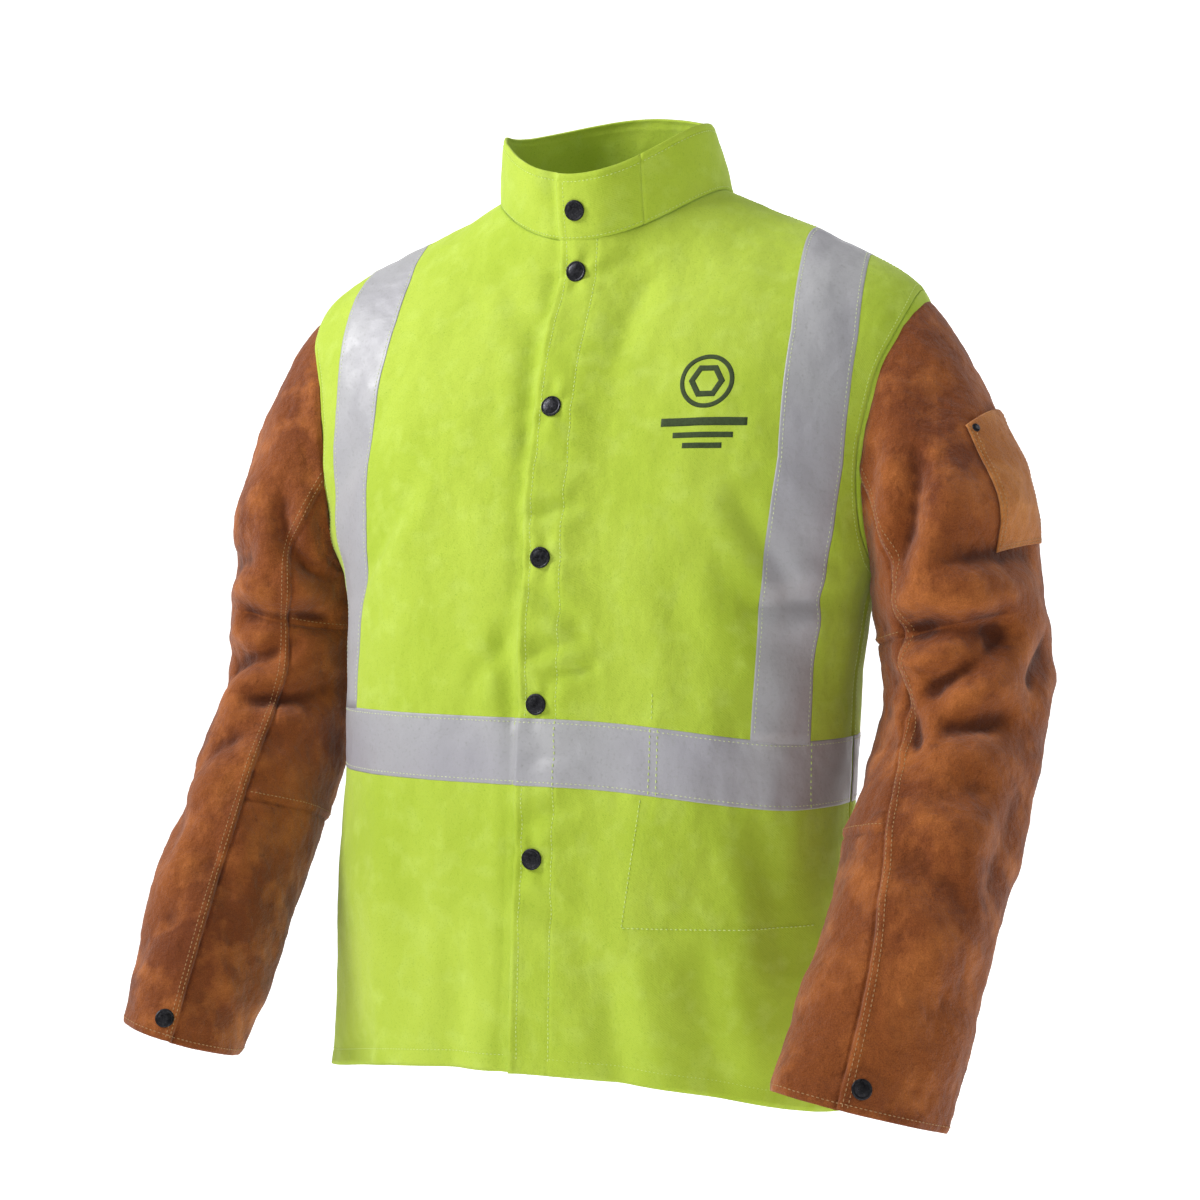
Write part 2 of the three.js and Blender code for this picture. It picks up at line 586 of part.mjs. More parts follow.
// the middle of the flat facet that holds (u, v), and its normal
function flatPatch(us, vs, at, u, v) {
  const cell = (k, x) => {
    let i = 0;
    while (i < k.length - 2 && k[i + 1] < x) i++;
    return i;
  };
  const i = cell(us, u);
  const j = cell(vs, v);
  const fu = (u - us[i]) / (us[i + 1] - us[i]);
  const fv = (v - vs[j]) / (vs[j + 1] - vs[j]);
  const c = [[0, 0], [1, 0], [0, 1], [1, 1]].map(([a, b]) => at(us[i + a], vs[j + b]));
  const mix = (k) => c[0][k].clone().lerp(c[1][k], fu).lerp(c[2][k].clone().lerp(c[3][k], fu), fv);
  return [mix(0), mix(1).normalize()];
}
for (const side of [1, -1]) {
  const word = side > 0 ? 'left' : 'right';
  const surface = sleeveSurface(side);
  const at = (theta, s) => {
    const n = normalOf(surface, theta, Math.min(Math.max(s, 0.01), 4.99), 0.8, 0.01).multiplyScalar(side);
    return [surface(theta, s), n];
  };
  sleeves[side] = at;
  const gap = 0.006;
  leather(`${word}_sleeve_head`, tube(20, [0, 0.12, 0.27, 0.45, 0.65, 0.85, 1 - 3 * gap], at, 0, LEATHER));
  const half = (name, s0, s1, rows, top) => {
    const a = top ? UNDER_TO - 360 + 0.5 : UNDER_FROM;
    const b = top ? UNDER_FROM - 0.5 : UNDER_TO;
    leather(name, sheet(range(a, b, top ? 12 : 7), range(s0, s1, rows), at, 0, LEATHER));
  };
  half(`${word}_upper_top_sleeve`, 1, ELBOW_FROM, 2, true);
  half(`${word}_upper_under_sleeve`, 1, ELBOW_FROM, 2, false);
  leather(`${word}_elbow`, tube(20, range(ELBOW_FROM + gap, ELBOW_TO - gap, 4), at, 0, LEATHER));
  half(`${word}_lower_top_sleeve`, ELBOW_TO, 5, 6, true);
  half(`${word}_lower_under_sleeve`, ELBOW_TO, 5, 6, false);
}

// ---------- pen pocket on the wearer's left sleeve ----------
{
  const at = sleeves[1];
  const [w, h] = PEN_POCKET;
  // centred on the outer front of the upper arm
  const s0 = 0.52;
  const s1 = 1.06;
  const deg = (w / 75) / RAD / 2;
  const mid = 18;
  const bulge = (u, v) => 2.0 + 1.6 * Math.sin(Math.PI * u) * smooth(1, 0.6, v);
  const pocket = sheet(range(0, 1, 6), range(0, 1, 6),
    (u, v) => at(lerp(mid - deg, mid + deg, u), lerp(s0, s1, v)),
    (u, v) => LEATHER + bulge(u, v), (u, v) => 2 * LEATHER + bulge(u, v));
  const outer = (u, v) => {
    const [q, m] = at(lerp(mid - deg, mid + deg, u), lerp(s0, s1, v));
    return [q.addScaledVector(m, 2 * LEATHER + bulge(u, v)), m];
  };
  const [base, normal] = flatPatch(range(0, 1, 6), range(0, 1, 6), outer, 0.9, 0.06);
  leather('pen_pocket', drilled(pocket, [[base, normal]], 1.6 + 0.3, -LEATHER, 0, 3.4, 4), TAN);
  const rivet = turned([[0, -2.6], [3.0, -2.6], [3.0, -1.9], [1.6, -1.9], [1.6, 0.5],
    [3.6, 0.5], [3.2, 1.3], [1.8, 1.8], [0, 1.9]], 10);
  metal('pen_pocket_rivet', place(rivet, base, normal));
}

// ---------- press snaps ----------
function snapTop(point, n, height) {
  // domed cap and the socket under the cloth, riveted through it
  const top = height + 1.4 * CLOTH + 0.5;
  const low = height - 0.5;
  const g = turned([
    [0, top + 2.2], [4.2, top + 1.9], [SNAP_CAP - 0.5, top + 0.9], [SNAP_CAP, top], [SHANK, top],
    [SHANK, low], [SNAP_SOCKET, low], [SNAP_SOCKET, low - 2.1],
    [SNAP_STUD + STUD_CLEARANCE, low - 2.1], [SNAP_STUD + STUD_CLEARANCE, low - 0.5], [0, low - 0.5],
  ]);
  return place(g, point, n);
}
function snapBase(point, n, thick) {
  const head = thick + 0.5;
  const g = turned([
    [0, head + 1.5], [SNAP_STUD - 0.6, head + 1.5], [SNAP_STUD, head + 1.0], [SNAP_STUD, head + 0.5],
    [5.2, head + 0.5], [5.2, head], [SHANK, head], [SHANK, -0.5], [5.2, -0.5], [5.2, -1.3], [0, -1.5],
  ]);
  return place(g, point, n);
}
studSeats.forEach(([point, n], i) => {
  const label = i === 0 ? 'collar' : `front_${i}`;
  const thick = i === 0 ? 1.4 * CLOTH : CLOTH;
  metal(`snap_cap_${label}`, snapTop(...capSeats[i], SNAP_STACK + thick));
  metal(`snap_stud_${label}`, snapBase(point, n, thick));
});

// cuff snaps, each on the front seam of its sleeve
for (const side of [1, -1]) {
  const word = side > 0 ? 'left' : 'right';
  const [point, n] = flatPatch(lowerTopAngles, lowerRows, sleeves[side], UNDER_FROM - 12, 4.84);
  const index = jacket.children.findIndex((m) => m.name === `${word}_lower_top_sleeve`);
  const host = jacket.children[index];
  host.geometry = drilled(host.geometry, [[point, n]], SHANK_HOLE, 0, LEATHER, 6.1, 8);
  const g = turned([
    [0, LEATHER + 2.6], [4.0, LEATHER + 2.3], [SNAP_CAP - 1.4, LEATHER + 1.2], [SNAP_CAP - 0.9, LEATHER + 0.5],
    [SHANK, LEATHER + 0.5], [SHANK, -0.5], [SNAP_SOCKET - 0.6, -0.5], [SNAP_SOCKET - 0.6, -2.4], [0, -2.4],
  ]);
  metal(`cuff_snap_${word}`, place(g, point, n));
}

// the loop stays at the origin and everything else is set out from it
for (const m of jacket.children) {
  if (m.name !== 'hanger_loop') m.geometry.translate(0, LOOP_BACK, LOOP_DROP);
}

export default jacket;
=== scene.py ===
"""A welding jacket: flame-resistant cotton body, split-leather sleeves, reflective tape, press snaps.

Shapes are worked out in millimetres from the neck seam and put down in metres in the frame of the
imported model: +Z up, the front faces -Y, the wearer's left is +X.
"""

import math

import bmesh
import bpy
import numpy as np
from mathutils import Matrix, Vector, noise


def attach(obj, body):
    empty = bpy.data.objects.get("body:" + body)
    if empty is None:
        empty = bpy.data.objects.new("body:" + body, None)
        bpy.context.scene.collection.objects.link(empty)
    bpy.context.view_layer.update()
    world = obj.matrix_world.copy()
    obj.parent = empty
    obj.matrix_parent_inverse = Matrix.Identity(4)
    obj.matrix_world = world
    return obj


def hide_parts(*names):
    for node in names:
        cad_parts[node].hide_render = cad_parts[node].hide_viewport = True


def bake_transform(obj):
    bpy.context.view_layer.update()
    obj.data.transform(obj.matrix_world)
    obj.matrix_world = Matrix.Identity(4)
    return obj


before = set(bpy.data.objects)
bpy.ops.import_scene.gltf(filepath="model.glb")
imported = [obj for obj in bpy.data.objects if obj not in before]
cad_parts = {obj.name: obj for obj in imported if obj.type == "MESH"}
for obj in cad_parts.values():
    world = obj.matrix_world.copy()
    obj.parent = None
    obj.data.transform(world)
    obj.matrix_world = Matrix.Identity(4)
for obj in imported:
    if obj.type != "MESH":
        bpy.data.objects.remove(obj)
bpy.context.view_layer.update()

# ---------- driving sizes, millimetres ----------
CLOTH = 1.0                      # folded cotton
LEATHER = 1.4                    # split cowhide
TAPE_WIDTH = 52
PLACKET_EDGE = -15               # free edge of the placket, X
PLACKET_SEAM = 16
FOLD_END = 50.4                  # where the left front stops bending
UNDERLAP = 30                    # right front edge under the placket, X
PLACKET_LIFT = 5.2               # underside of the placket above the right front
SNAPS = [-66, -176, -293, -406, -525]
HEM = 13
LOOP_TO_NECK = np.array([0, 3, 14])   # the neck seam from the middle of the hanger loop

# half width, front depth, back depth, centre Y, squareness, side Z, front Z, back Z, hem to neck
RINGS = np.array([
    [226, 126, 120, -124, 2.35, -722, -690, -730],
    [222, 123, 118, -121, 2.35, -600, -580, -604],
    [219, 119, 115, -117, 2.35, -470, -460, -472],
    [224, 120, 117, -108, 2.35, -350, -352, -350],
    [246, 120, 121, -99, 2.3, -245, -252, -245],
    [266, 111, 116, -90, 2.2, -152, -172, -150],
    [262, 95, 97, -81, 2.1, -84, -118, -84],
    [180, 79, 83, -75, 2.0, -34, -75, -40],
    [98, 78, 79, -72, 2.0, 5, -40, -4],
])
COLLAR = np.array([
    [98, 78, 79, -72, 2.0, 5, -40, -4],
    [94, 74, 75, -81, 2.0, 31, -14, 37],
    [88, 68, 71, -91, 2.0, 57, 13, 78],
])
ARM_LOW, ARM_TOP, ARM_SPREAD = 0.4345, 0.75, 27
ARM_MID, ARM_HALF = (ARM_LOW + ARM_TOP) / 2, (ARM_TOP - ARM_LOW) / 2
# centre, half width, half depth, twist, lean outward, lean forward, underarm to cuff
ARM = {
    1: np.array([
        [294, -92, -300, 64, 87, 0, .43, 0],
        [306, -101, -396, 63, 80, 0, .12, .06],
        [298, -165, -492, 62, 72, 8, .03, .26],
        [286, -230, -592, 61, 58, 24, -.05, .3],
        [272, -286, -685, 64, 42, 36, -.18, .26]]),
    -1: np.array([
        [284, -88, -300, 53, 88, 0, .43, 0],
        [287, -97, -396, 53, 82, 0, .12, .06],
        [288, -160, -492, 53, 74, 0, .03, .26],
        [289, -228, -592, 50, 66, 0, .12, .3],
        [289, -284, -680, 42, 58, 0, .28, .26]]),
}
UNDER_FROM, UNDER_TO = 118, 246  # the under-sleeve spans these angles round the arm
JOIN = 1.5                       # stations down the arm where head and lower sleeve meet


# ---------- surfaces ----------
def lerp(a, b, t):
    return a + (b - a) * t


def smooth(a, b, x):
    t = np.clip((x - a) / (b - a), 0, 1)
    return t * t * (3 - 2 * t)


def bell(x, width):
    return np.exp(-(x / width) ** 2)


def through(rows, x):
    """A smooth curve through the rows, at x rows from the first."""
    rows = np.vstack([2 * rows[0] - rows[1], rows, 2 * rows[-1] - rows[-2]])
    i = np.clip(np.floor(x).astype(int), 0, len(rows) - 4)
    u = (x - i)[:, None]
    a, b, c, d = (rows[i + k] for k in range(4))
    return 0.5 * (2 * b + (c - a) * u + (2 * a - 5 * b + 4 * c - d) * u ** 2
                  + (3 * b - a - 3 * c + d) * u ** 3)


def loft(rings):
    def surface(phi, t):
        r = through(rings, t * (len(rings) - 1)).T
        s, c = np.sin(np.radians(phi)), np.cos(np.radians(phi))
        p = 2 / r[4]
        depth, middle = np.where(c > 0, r[1], r[2]), np.where(c > 0, r[6], r[7])
        return np.stack([r[0] * np.sign(s) * abs(s) ** p,
                         r[3] - depth * np.sign(c) * abs(c) ** p,
                         lerp(r[5], middle, c * c)], 1)
    return surface


torso, collar = loft(RINGS), loft(COLLAR)


def unit(v):
    return v / np.linalg.norm(v, axis=-1, keepdims=True)


def normal_of(surface, a, b, da=0.4, db=0.004):
    return unit(np.cross(surface(a + da, b) - surface(a - da, b),
                         surface(a, b + db) - surface(a, b - db)))


def angle_at_x(rings, x, t):
    r = through(rings, t * (len(rings) - 1)).T
    k = np.minimum(1, abs(x) / r[0])
    return np.degrees(np.sign(x) * np.arcsin(k ** (r[4] / 2)))


def t_at_z(z, phi):
    lo, hi = np.zeros_like(z, dtype=float), np.ones_like(z, dtype=float)
    for _ in range(24):
        m = (lo + hi) / 2
        low = torso(phi, m)[:, 2] < z
        lo, hi = np.where(low, m, lo), np.where(low, hi, m)
    return (lo + hi) / 2


def side_angle(t):
    k = np.clip((t - ARM_MID) / ARM_HALF, -1, 1)
    return 90 - ARM_SPREAD * np.sqrt(1 - k * k)


# ---------- how the cloth falls ----------
def mottle(points, size, seed):
    """Smooth noise between about -1 and 1, with features of that size in millimetres."""
    return np.array([noise.noise(q) for q in (points / np.array(size) + seed).tolist()]) * 1.5


def waist_height(phi):
    return -443 - 16 * smooth(0, 60, phi) * smooth(300, 200, phi)


def front_of(p):
    """1 on the front of the body, fading to 0 round its sides."""
    return smooth(-90, -130, p[:, 1])


# soft dents in the front: X and Z of both ends, width and depth
DENTS = [
    (-12, -262, 26, -252, 7, 2.6), (-6, -318, 30, -342, 9, 3.0), (-8, -368, 34, -352, 8, 2.6),
    (4, -386, 44, -376, 6, 2.0), (-34, -350, -22, -420, 9, 3.0), (-60, -392, -26, -352, 9, 2.2),
    (-10, -210, 22, -224, 9, 2.0), (-30, -110, -18, -210, 10, 2.4), (20, -62, 52, -54, 8, 1.8),
    (-8, -448, 32, -440, 8, 1.6), (-10, -500, 30, -482, 9, 2.2), (-8, -556, 34, -572, 9, 2.4),
    (60, -610, 74, -700, 16, 4.0), (-60, -620, -70, -720, 18, 3.0), (130, -600, 150, -700, 18, 4.0),
    (150, -250, 196, -330, 11, 3.2), (160, -330, 214, -322, 10, 3.0), (110, -300, 122, -420, 16, 2.4),
    (-120, -240, -190, -330, 12, 3.0), (-110, -470, -120, -600, 20, 3.0), (170, -500, 190, -600, 14, 3.4),
    (-70, -60, -40, -110, 12, 2.0), (60, -70, 44, -130, 12, 2.2),
]


def fall(p, phi):
    """How far the cotton stands off the plain shape: folds, drags at the underarm and puckers."""
    x, y, z = p.T
    front = front_of(p)
    skirt = smooth(-450, -700, z)
    folds = 3.0 * mottle(p, (90, 90, 330), 3.1) + 1.9 * mottle(p, (48, 48, 110), 7.9)
    flutes = 4.6 * skirt * mottle(p, (62, 80, 620), 9.7)
    # long drags from the underarm up toward the collar
    across, along = 0.80 * abs(x) + 0.60 * z, -0.60 * abs(x) + 0.80 * z
    drag_at = np.stack([across, along, np.sign(x) * 400 + 0.2 * y], 1)
    drags = 5.0 * mottle(drag_at, (34, 190, 90), 21.3)
    drags *= bell(z + 280, 120) * smooth(60, 190, abs(x))
    crumple = 0.7 * mottle(p, (20, 20, 36), 5.3) + 0.22 * mottle(p, (8, 8, 11), 15.3)
    total = folds + flutes + drags + crumple
    for x0, z0, x1, z1, width, depth in DENTS:
        ax, az, bx, bz = x - x0, z - z0, x1 - x0, z1 - z0
        k = (ax * bx + az * bz) / (bx * bx + bz * bz)
        d = np.hypot(ax - np.clip(k, 0, 1) * bx, az - np.clip(k, 0, 1) * bz)
        dent = front * depth * smooth(-.4, .3, k) * smooth(1.4, .7, k)
        total += dent * (.6 * bell(d - 1.8 * width, width) - bell(d, .8 * width))
    # seams and tape edges gather the cloth a little
    band = z - waist_height(np.where(phi < 0, phi + 360, phi))
    gather = bell(band - 29, 8) + bell(band + 29, 8)
    total += 0.8 * gather * mottle(p, (11, 11, 60), 31.7)
    total += 0.5 * front * bell(x - PLACKET_SEAM, 7) * mottle(p, (30, 30, 8), 41.1)
    total += 0.5 * front * bell(x - PLACKET_EDGE - 5, 7) * mottle(p, (30, 30, 10), 47.1)
    calm = np.ones_like(x)
    pull = np.zeros_like(x)
    for i, height in enumerate(SNAPS):
        r = np.hypot(x, z - height)
        calm *= 1 - front * (1 - smooth(8, 30, r))
        turn = np.arctan2(z - height, x)
        pull += front * smooth(8, 12, r) * bell(r - 12, 17) * np.sin(5 * turn + 2.3 * i)
    # the cloth dips beside the placket, whose free edge stands off a little between the snaps
    total -= 2.6 * front * smooth(-17, -20, x) * bell(x + 20, 9)
    total += 1.6 * front * bell(x - PLACKET_EDGE, 9) * smooth(22, 50, np.min(
        [abs(z - height) for height in SNAPS], axis=0))
    neck = smooth(0, 45, np.hypot(np.hypot(x, y + 72) - 85, np.minimum(0, z + 40)))
    return total * calm * lerp(0.35, 1, neck) + 1.1 * pull


def on_body(phi, t, off):
    """Points and outward directions on the fallen cloth, off millimetres above its inner face."""
    p, n = torso(phi, t), normal_of(torso, phi, np.minimum(t, 0.996))
    return p + n * (off + fall(p, phi))[:, None], n


def on_collar(phi, t, off):
    """The collar falls with the body at its seam and by itself above it."""
    p, n = collar(phi, t), normal_of(collar, phi, np.clip(t, 0.004, 0.996))
    snap = front_of(p) * bell(np.hypot(p[:, 0], (t - 0.47) * 55), 14)
    wave = (1.5 * mottle(p, (42, 42, 60), 61.0) + .4 * mottle(p, (14, 14, 16), 67.0)) * (1 - snap)
    x = p[:, 0]
    wave -= 2.4 * front_of(p) * smooth(-17, -20, x) * bell(x + 20, 8)
    sway = lerp(fall(p, phi), wave, smooth(0, .3, t))
    return p + n * (off + sway)[:, None], n


def placket_lift(x):
    return lerp(PLACKET_LIFT, 0, smooth(PLACKET_SEAM - 2, FOLD_END, x))


# ---------- sleeves ----------
# creases: angle and station of both ends, width and depth in millimetres
CREASES = {
    1: [(74, .50, 110, .84, 13, 7), (52, 1.54, 114, 1.45, 15, 11), (46, 1.62, 100, 2.0, 14, 7),
        (12, 1.12, 80, .98, 15, 7), (84, 1.22, 50, 1.30, 10, 3), (86, 2.33, 46, 2.26, 14, 5),
        (104, 2.5, 118, 2.0, 9, 4), (102, 3.3, 58, 3.6, 17, 4), (30, 2.0, 2, 1.7, 14, 5),
        (72, 4.3, 30, 4.0, 18, 3), (20, 2.8, 40, 3.5, 18, 3), (88, 2.9, 50, 2.8, 15, 3),
        (215, 1.6, 285, 1.5, 14, 7), (225, 2.1, 300, 2.25, 14, 5), (240, 3.1, 300, 3.5, 18, 4),
        (200, .9, 250, .6, 14, 5)],
    -1: [(98, .55, 138, .9, 13, 5), (78, 1.50, 146, 1.38, 14, 8), (62, 2.0, 124, 1.66, 14, 6),
         (92, 2.3, 152, 2.16, 13, 5), (40, 1.2, 84, .98, 15, 5), (60, 2.9, 108, 2.5, 15, 4),
         (80, 3.5, 134, 3.8, 16, 3), (50, 4.4, 96, 4.0, 18, 3), (38, 3.0, 66, 3.7, 18, 3),
         (215, 1.6, 285, 1.5, 14, 7), (225, 2.1, 300, 2.25, 14, 5), (240, 3.1, 300, 3.5, 18, 4),
         (200, .9, 250, .6, 14, 5)],
}
CROSS_SEAMS = (1.47, 3.15)       # piecing seams of the under-sleeve


def sleeve(side):
    """The plain sleeve: angle round the arm (0 outer, 90 front) and stations from the armhole."""
    def ring(s, theta):
        x, y, z, wide, deep, twist, lean_x, lean_y = through(ARM[side], s).T
        out, ahead = np.cos(theta) * wide, np.sin(theta) * deep
        c, w = np.cos(np.radians(twist)), np.sin(np.radians(twist))
        dx, dy = out * c + ahead * w, out * w - ahead * c
        return np.stack([x + dx * (1 - .25 * lean_x ** 2), y + dy,
                         z + .9 * lean_x * dx - lean_y * dy], 1)

    arm = unit(np.array([.18, -.03, -.98]))

    def surface(angle, s):
        theta = np.radians(angle)
        below = ring(np.clip(s - 1, 0, 4), theta)
        phi = 90 - .975 * ARM_SPREAD * np.sin(theta)
        t = ARM_MID + .975 * ARM_HALF * np.cos(theta)
        n = normal_of(torso, phi, t)
        a = torso(phi, t) + .9 * n
        b = ring(np.zeros_like(s), theta)
        down = unit(ring(np.full_like(s, .15), theta) - b)
        k = np.linalg.norm(a - b, axis=1)[:, None] / 3
        u = np.clip(s, 0, 1)[:, None]
        w = 1 - u
        head = (a * w ** 3 + 3 * w * w * u * (a + k * unit(n + 2.2 * arm))
                + 3 * w * u * u * (b - k * down) + b * u ** 3)
        p = np.where((s < 1)[:, None], head, below)
        p[:, 0] *= side
        return p
    return surface


SLEEVE = {side: sleeve(side) for side in (1, -1)}


def seam_step(angle, s):
    """The under-sleeve lies a leather's thickness lower, and its seams are drawn in."""
    reach = 1.15                                  # millimetres of leather to a degree
    low = np.zeros_like(angle)
    welt = np.zeros_like(angle)
    for edge, turn in ((UNDER_FROM, 1), (UNDER_TO, -1)):
        d = ((angle - edge + 180) % 360 - 180) * turn * reach
        low += 1.3 * smooth(-.3, .9, d) * smooth(60, 20, d)
        welt += 1.3 * bell(d + 4.5, 4) - 1.5 * bell(d - 1.2, 1.8)
    under = smooth(UNDER_FROM, UNDER_FROM + 2, angle) * smooth(UNDER_TO, UNDER_TO - 2, angle)
    for at in CROSS_SEAMS:
        d = (s - at) * 98
        welt += under * (1.2 * bell(d + 4, 4) - 1.5 * bell(d - 1, 1.6))
    return welt - low * smooth(1.0, 1.3, s)


def crumpled(side, p, angle, s):
    """How far the leather stands off the plain sleeve."""
    x = np.zeros_like(s)
    for a0, s0, a1, s1, width, depth in CREASES[side]:
        ax, ay = (angle - a0) * 1.3, (s - s0) * 98
        bx, by = (a1 - a0) * 1.3, (s1 - s0) * 98
        k = (ax * bx + ay * by) / (bx * bx + by * by)
        d = np.hypot(ax - np.clip(k, 0, 1) * bx, ay - np.clip(k, 0, 1) * by)
        strength = 1.25 * depth * smooth(-.35, .25, k) * smooth(1.35, .75, k)
        x += strength * (.62 * bell(d - 1.9 * width, 1.1 * width) - bell(d, .8 * width))
    bend = smooth(1.1, 1.6, s) * smooth(3.0, 2.2, s)
    rolls = np.stack([angle * 1.3, s * 98, np.full_like(s, 90. * side)], 1)
    x += (1.0 + 1.6 * bend) * mottle(rolls, (70, 24, 50), 11.0)
    x += 2.6 * mottle(p, (62, 62, 130), 2.0) + 1.5 * mottle(p, (26, 26, 40), 8.0)
    x += .55 * mottle(p, (9, 9, 12), 17.0) + .25 * mottle(p, (4.5, 4.5, 5), 19.0)
    x *= smooth(-.02, .22, s)
    keep = np.ones_like(s)                        # flat under the pocket's rivet and the snap
    spots = [(UNDER_FROM - 12, 4.84)] + ([(36, .55)] if side > 0 else [])
    for a0, s0 in spots:
        keep *= smooth(7, 24, np.hypot((angle - a0) * 1.2, (s - s0) * 150))
    return x * keep + seam_step(angle, s) * keep - 2.2 * bell(s, .045)


def on_sleeve(side, angle, s, off):
    surface = SLEEVE[side]
    p = surface(angle, s)
    n = side * normal_of(surface, angle, np.clip(s, .01, 4.99), .8, .01)
    return p + n * (off + crumpled(side, p, (angle + 90) % 360 - 90, s))[:, None], n


# ---------- finishes ----------
def finish(name, rough, **fixed):
    """A material with its shader, and a helper that adds and joins nodes."""
    made = bpy.data.materials.new(name)
    made.use_nodes = True
    tree = made.node_tree
    shader = tree.nodes["Principled BSDF"]
    shader.inputs["Roughness"].default_value = rough
    for socket, value in fixed.items():
        shader.inputs[socket.replace("_", " ")].default_value = value

    def add(kind, inputs=(), **settings):
        node = tree.nodes.new("ShaderNode" + kind)
        for key, value in settings.items():
            setattr(node, key, value)
        for key, value in dict(inputs).items():
            if isinstance(value, bpy.types.NodeSocket):
                tree.links.new(value, node.inputs[key])
            else:
                node.inputs[key].default_value = value
        return node
    return made, shader, add


def mix(add, a, b, factor, blend="MIX"):
    node = add("Mix", data_type="RGBA", blend_type=blend)
    for socket, value in zip((node.inputs[0], node.inputs[6], node.inputs[7]), (factor, a, b)):
        if isinstance(value, bpy.types.NodeSocket):
            node.id_data.links.new(value, socket)
        else:
            socket.default_value = value
    return node.outputs[2]


def grain(add, at, scale, detail=3, low=.35, high=.65):
    """Noise spread over 0 to 1."""
    spots = add("TexNoise", {"Vector": at, "Scale": scale, "Detail": detail})
    spread = add("MapRange", {"Value": spots.outputs["Fac"], "From Min": low, "From Max": high})
    return spread.outputs["Result"]


def relief(add, shader, layers):
    """Bumps one over another: (height, strength, distance in metres)."""
    under = None
    for height, strength, distance in layers:
        bump = add("Bump", {"Height": height, "Strength": strength, "Distance": distance})
        if under:
            shader.id_data.links.new(under, bump.inputs["Normal"])
        under = bump.outputs["Normal"]
    shader.id_data.links.new(under, shader.inputs["Normal"])


def cotton_twill(name="lime cotton twill", light=(.48, .62, .06, 1), deep=(.41, .55, .036, 1)):
    made, shader, add = finish(name, .88, Sheen_Weight=.12, Sheen_Roughness=.6, Specular_IOR_Level=.2)
    where = add("TexCoord")
    body, thread = where.outputs["Object"], where.outputs["UV"]
    colour = mix(add, light, deep, grain(add, body, 9, 4))
    colour = mix(add, colour, (.52, .67, .10, 1), grain(add, body, 55, 4, .5, .9))
    colour = mix(add, colour, (.27, .44, .02, 1), grain(add, body, 900, 2, .55, .9))
    worn = add("Attribute", attribute_name="raised")
    edge = add("MapRange", {"Value": worn.outputs["Fac"], "From Min": .62, "From Max": .95,
                            "To Max": .18})
    colour = mix(add, colour, (.60, .79, .16, 1), edge.outputs["Result"])
    shader.id_data.links.new(colour, shader.inputs["Base Color"])
    twill = add("Mapping", {"Vector": thread, "Rotation": (0, 0, math.radians(58))})
    ribs = add("TexWave", {"Vector": twill.outputs["Vector"], "Scale": 210, "Distortion": .6,
                           "Detail": 1, "Detail Scale": 2})
    relief(add, shader, [(grain(add, body, 70, 4), .22, .0022), (ribs.outputs["Fac"], .25, .00022),
                         (grain(add, body, 1500, 2), .2, .0003)])
    return made


def reflective_tape():
    made, shader, add = finish("silver reflective tape", .55, Metallic=.12, Specular_IOR_Level=.4)
    where = add("TexCoord")
    body, strip = where.outputs["Object"], where.outputs["UV"]
    colour = mix(add, (.44, .44, .45, 1), (.38, .37, .41, 1), grain(add, body, 7, 2))
    colour = mix(add, colour, (.33, .33, .33, 1), grain(add, body, 420, 3, .55, .85))
    shader.id_data.links.new(colour, shader.inputs["Base Color"])
    gloss = add("MapRange", {"Value": grain(add, body, 60, 3), "To Min": .46, "To Max": .6})
    shader.id_data.links.new(gloss.outputs["Result"], shader.inputs["Roughness"])
    beads = add("TexVoronoi", {"Vector": strip, "Scale": 1100})
    relief(add, shader, [(grain(add, body, 45, 3), .25, .002),
                         (beads.outputs["Distance"], .15, .0003)])
    return made


def split_leather(name, light, middle, deep, dark):
    made, shader, add = finish(name, .93, Sheen_Weight=.18, Sheen_Roughness=.5, Specular_IOR_Level=.18)
    body = add("TexCoord").outputs["Object"]
    colour = mix(add, middle, deep, grain(add, body, 11, 5, .38, .62))
    colour = mix(add, colour, light, grain(add, body, 34, 6, .48, .75))
    colour = mix(add, colour, dark, grain(add, body, 85, 6, .62, .95))
    raised = add("Attribute", attribute_name="raised").outputs["Fac"]
    # painted shade: the leather is blended toward its dark colour in the valleys of its folds, where
    # shade falls
    painted_crease_shade = add("MapRange", {"Value": raised, "From Min": .47, "From Max": .15, "To Max": .85})
    colour = mix(add, colour, dark, painted_crease_shade.outputs["Result"])
    rub = add("MapRange", {"Value": raised, "From Min": .6, "From Max": .9, "To Max": .65})
    patchy = add("Math", {0: rub.outputs["Result"], 1: grain(add, body, 60, 4, .3, .6)},
                 operation="MULTIPLY")
    colour = mix(add, colour, light, patchy.outputs["Value"])
    nap = grain(add, body, 1300, 3, .3, .75)
    colour = mix(add, colour, (1, 1, 1, 1), nap, "SOFT_LIGHT")
    shader.id_data.links.new(colour, shader.inputs["Base Color"])
    pebble = add("TexVoronoi", {"Vector": body, "Scale": 520})
    relief(add, shader, [(grain(add, body, 120, 5), .45, .0022),
                         (pebble.outputs["Distance"], .25, .0007), (nap, .45, .0006)])
    return made


def gunmetal():
    made, shader, add = finish("gunmetal", .34, Metallic=.85, Specular_IOR_Level=.5)
    body = add("TexCoord").outputs["Object"]
    colour = mix(add, (.022, .022, .026, 1), (.06, .06, .065, 1), grain(add, body, 700, 4, .5, .8))
    shader.id_data.links.new(colour, shader.inputs["Base Color"])
    gloss = add("MapRange", {"Value": grain(add, body, 300, 3), "To Min": .24, "To Max": .5})
    shader.id_data.links.new(gloss.outputs["Result"], shader.inputs["Roughness"])
    relief(add, shader, [(grain(add, body, 900, 3), .12, .0002)])
    return made


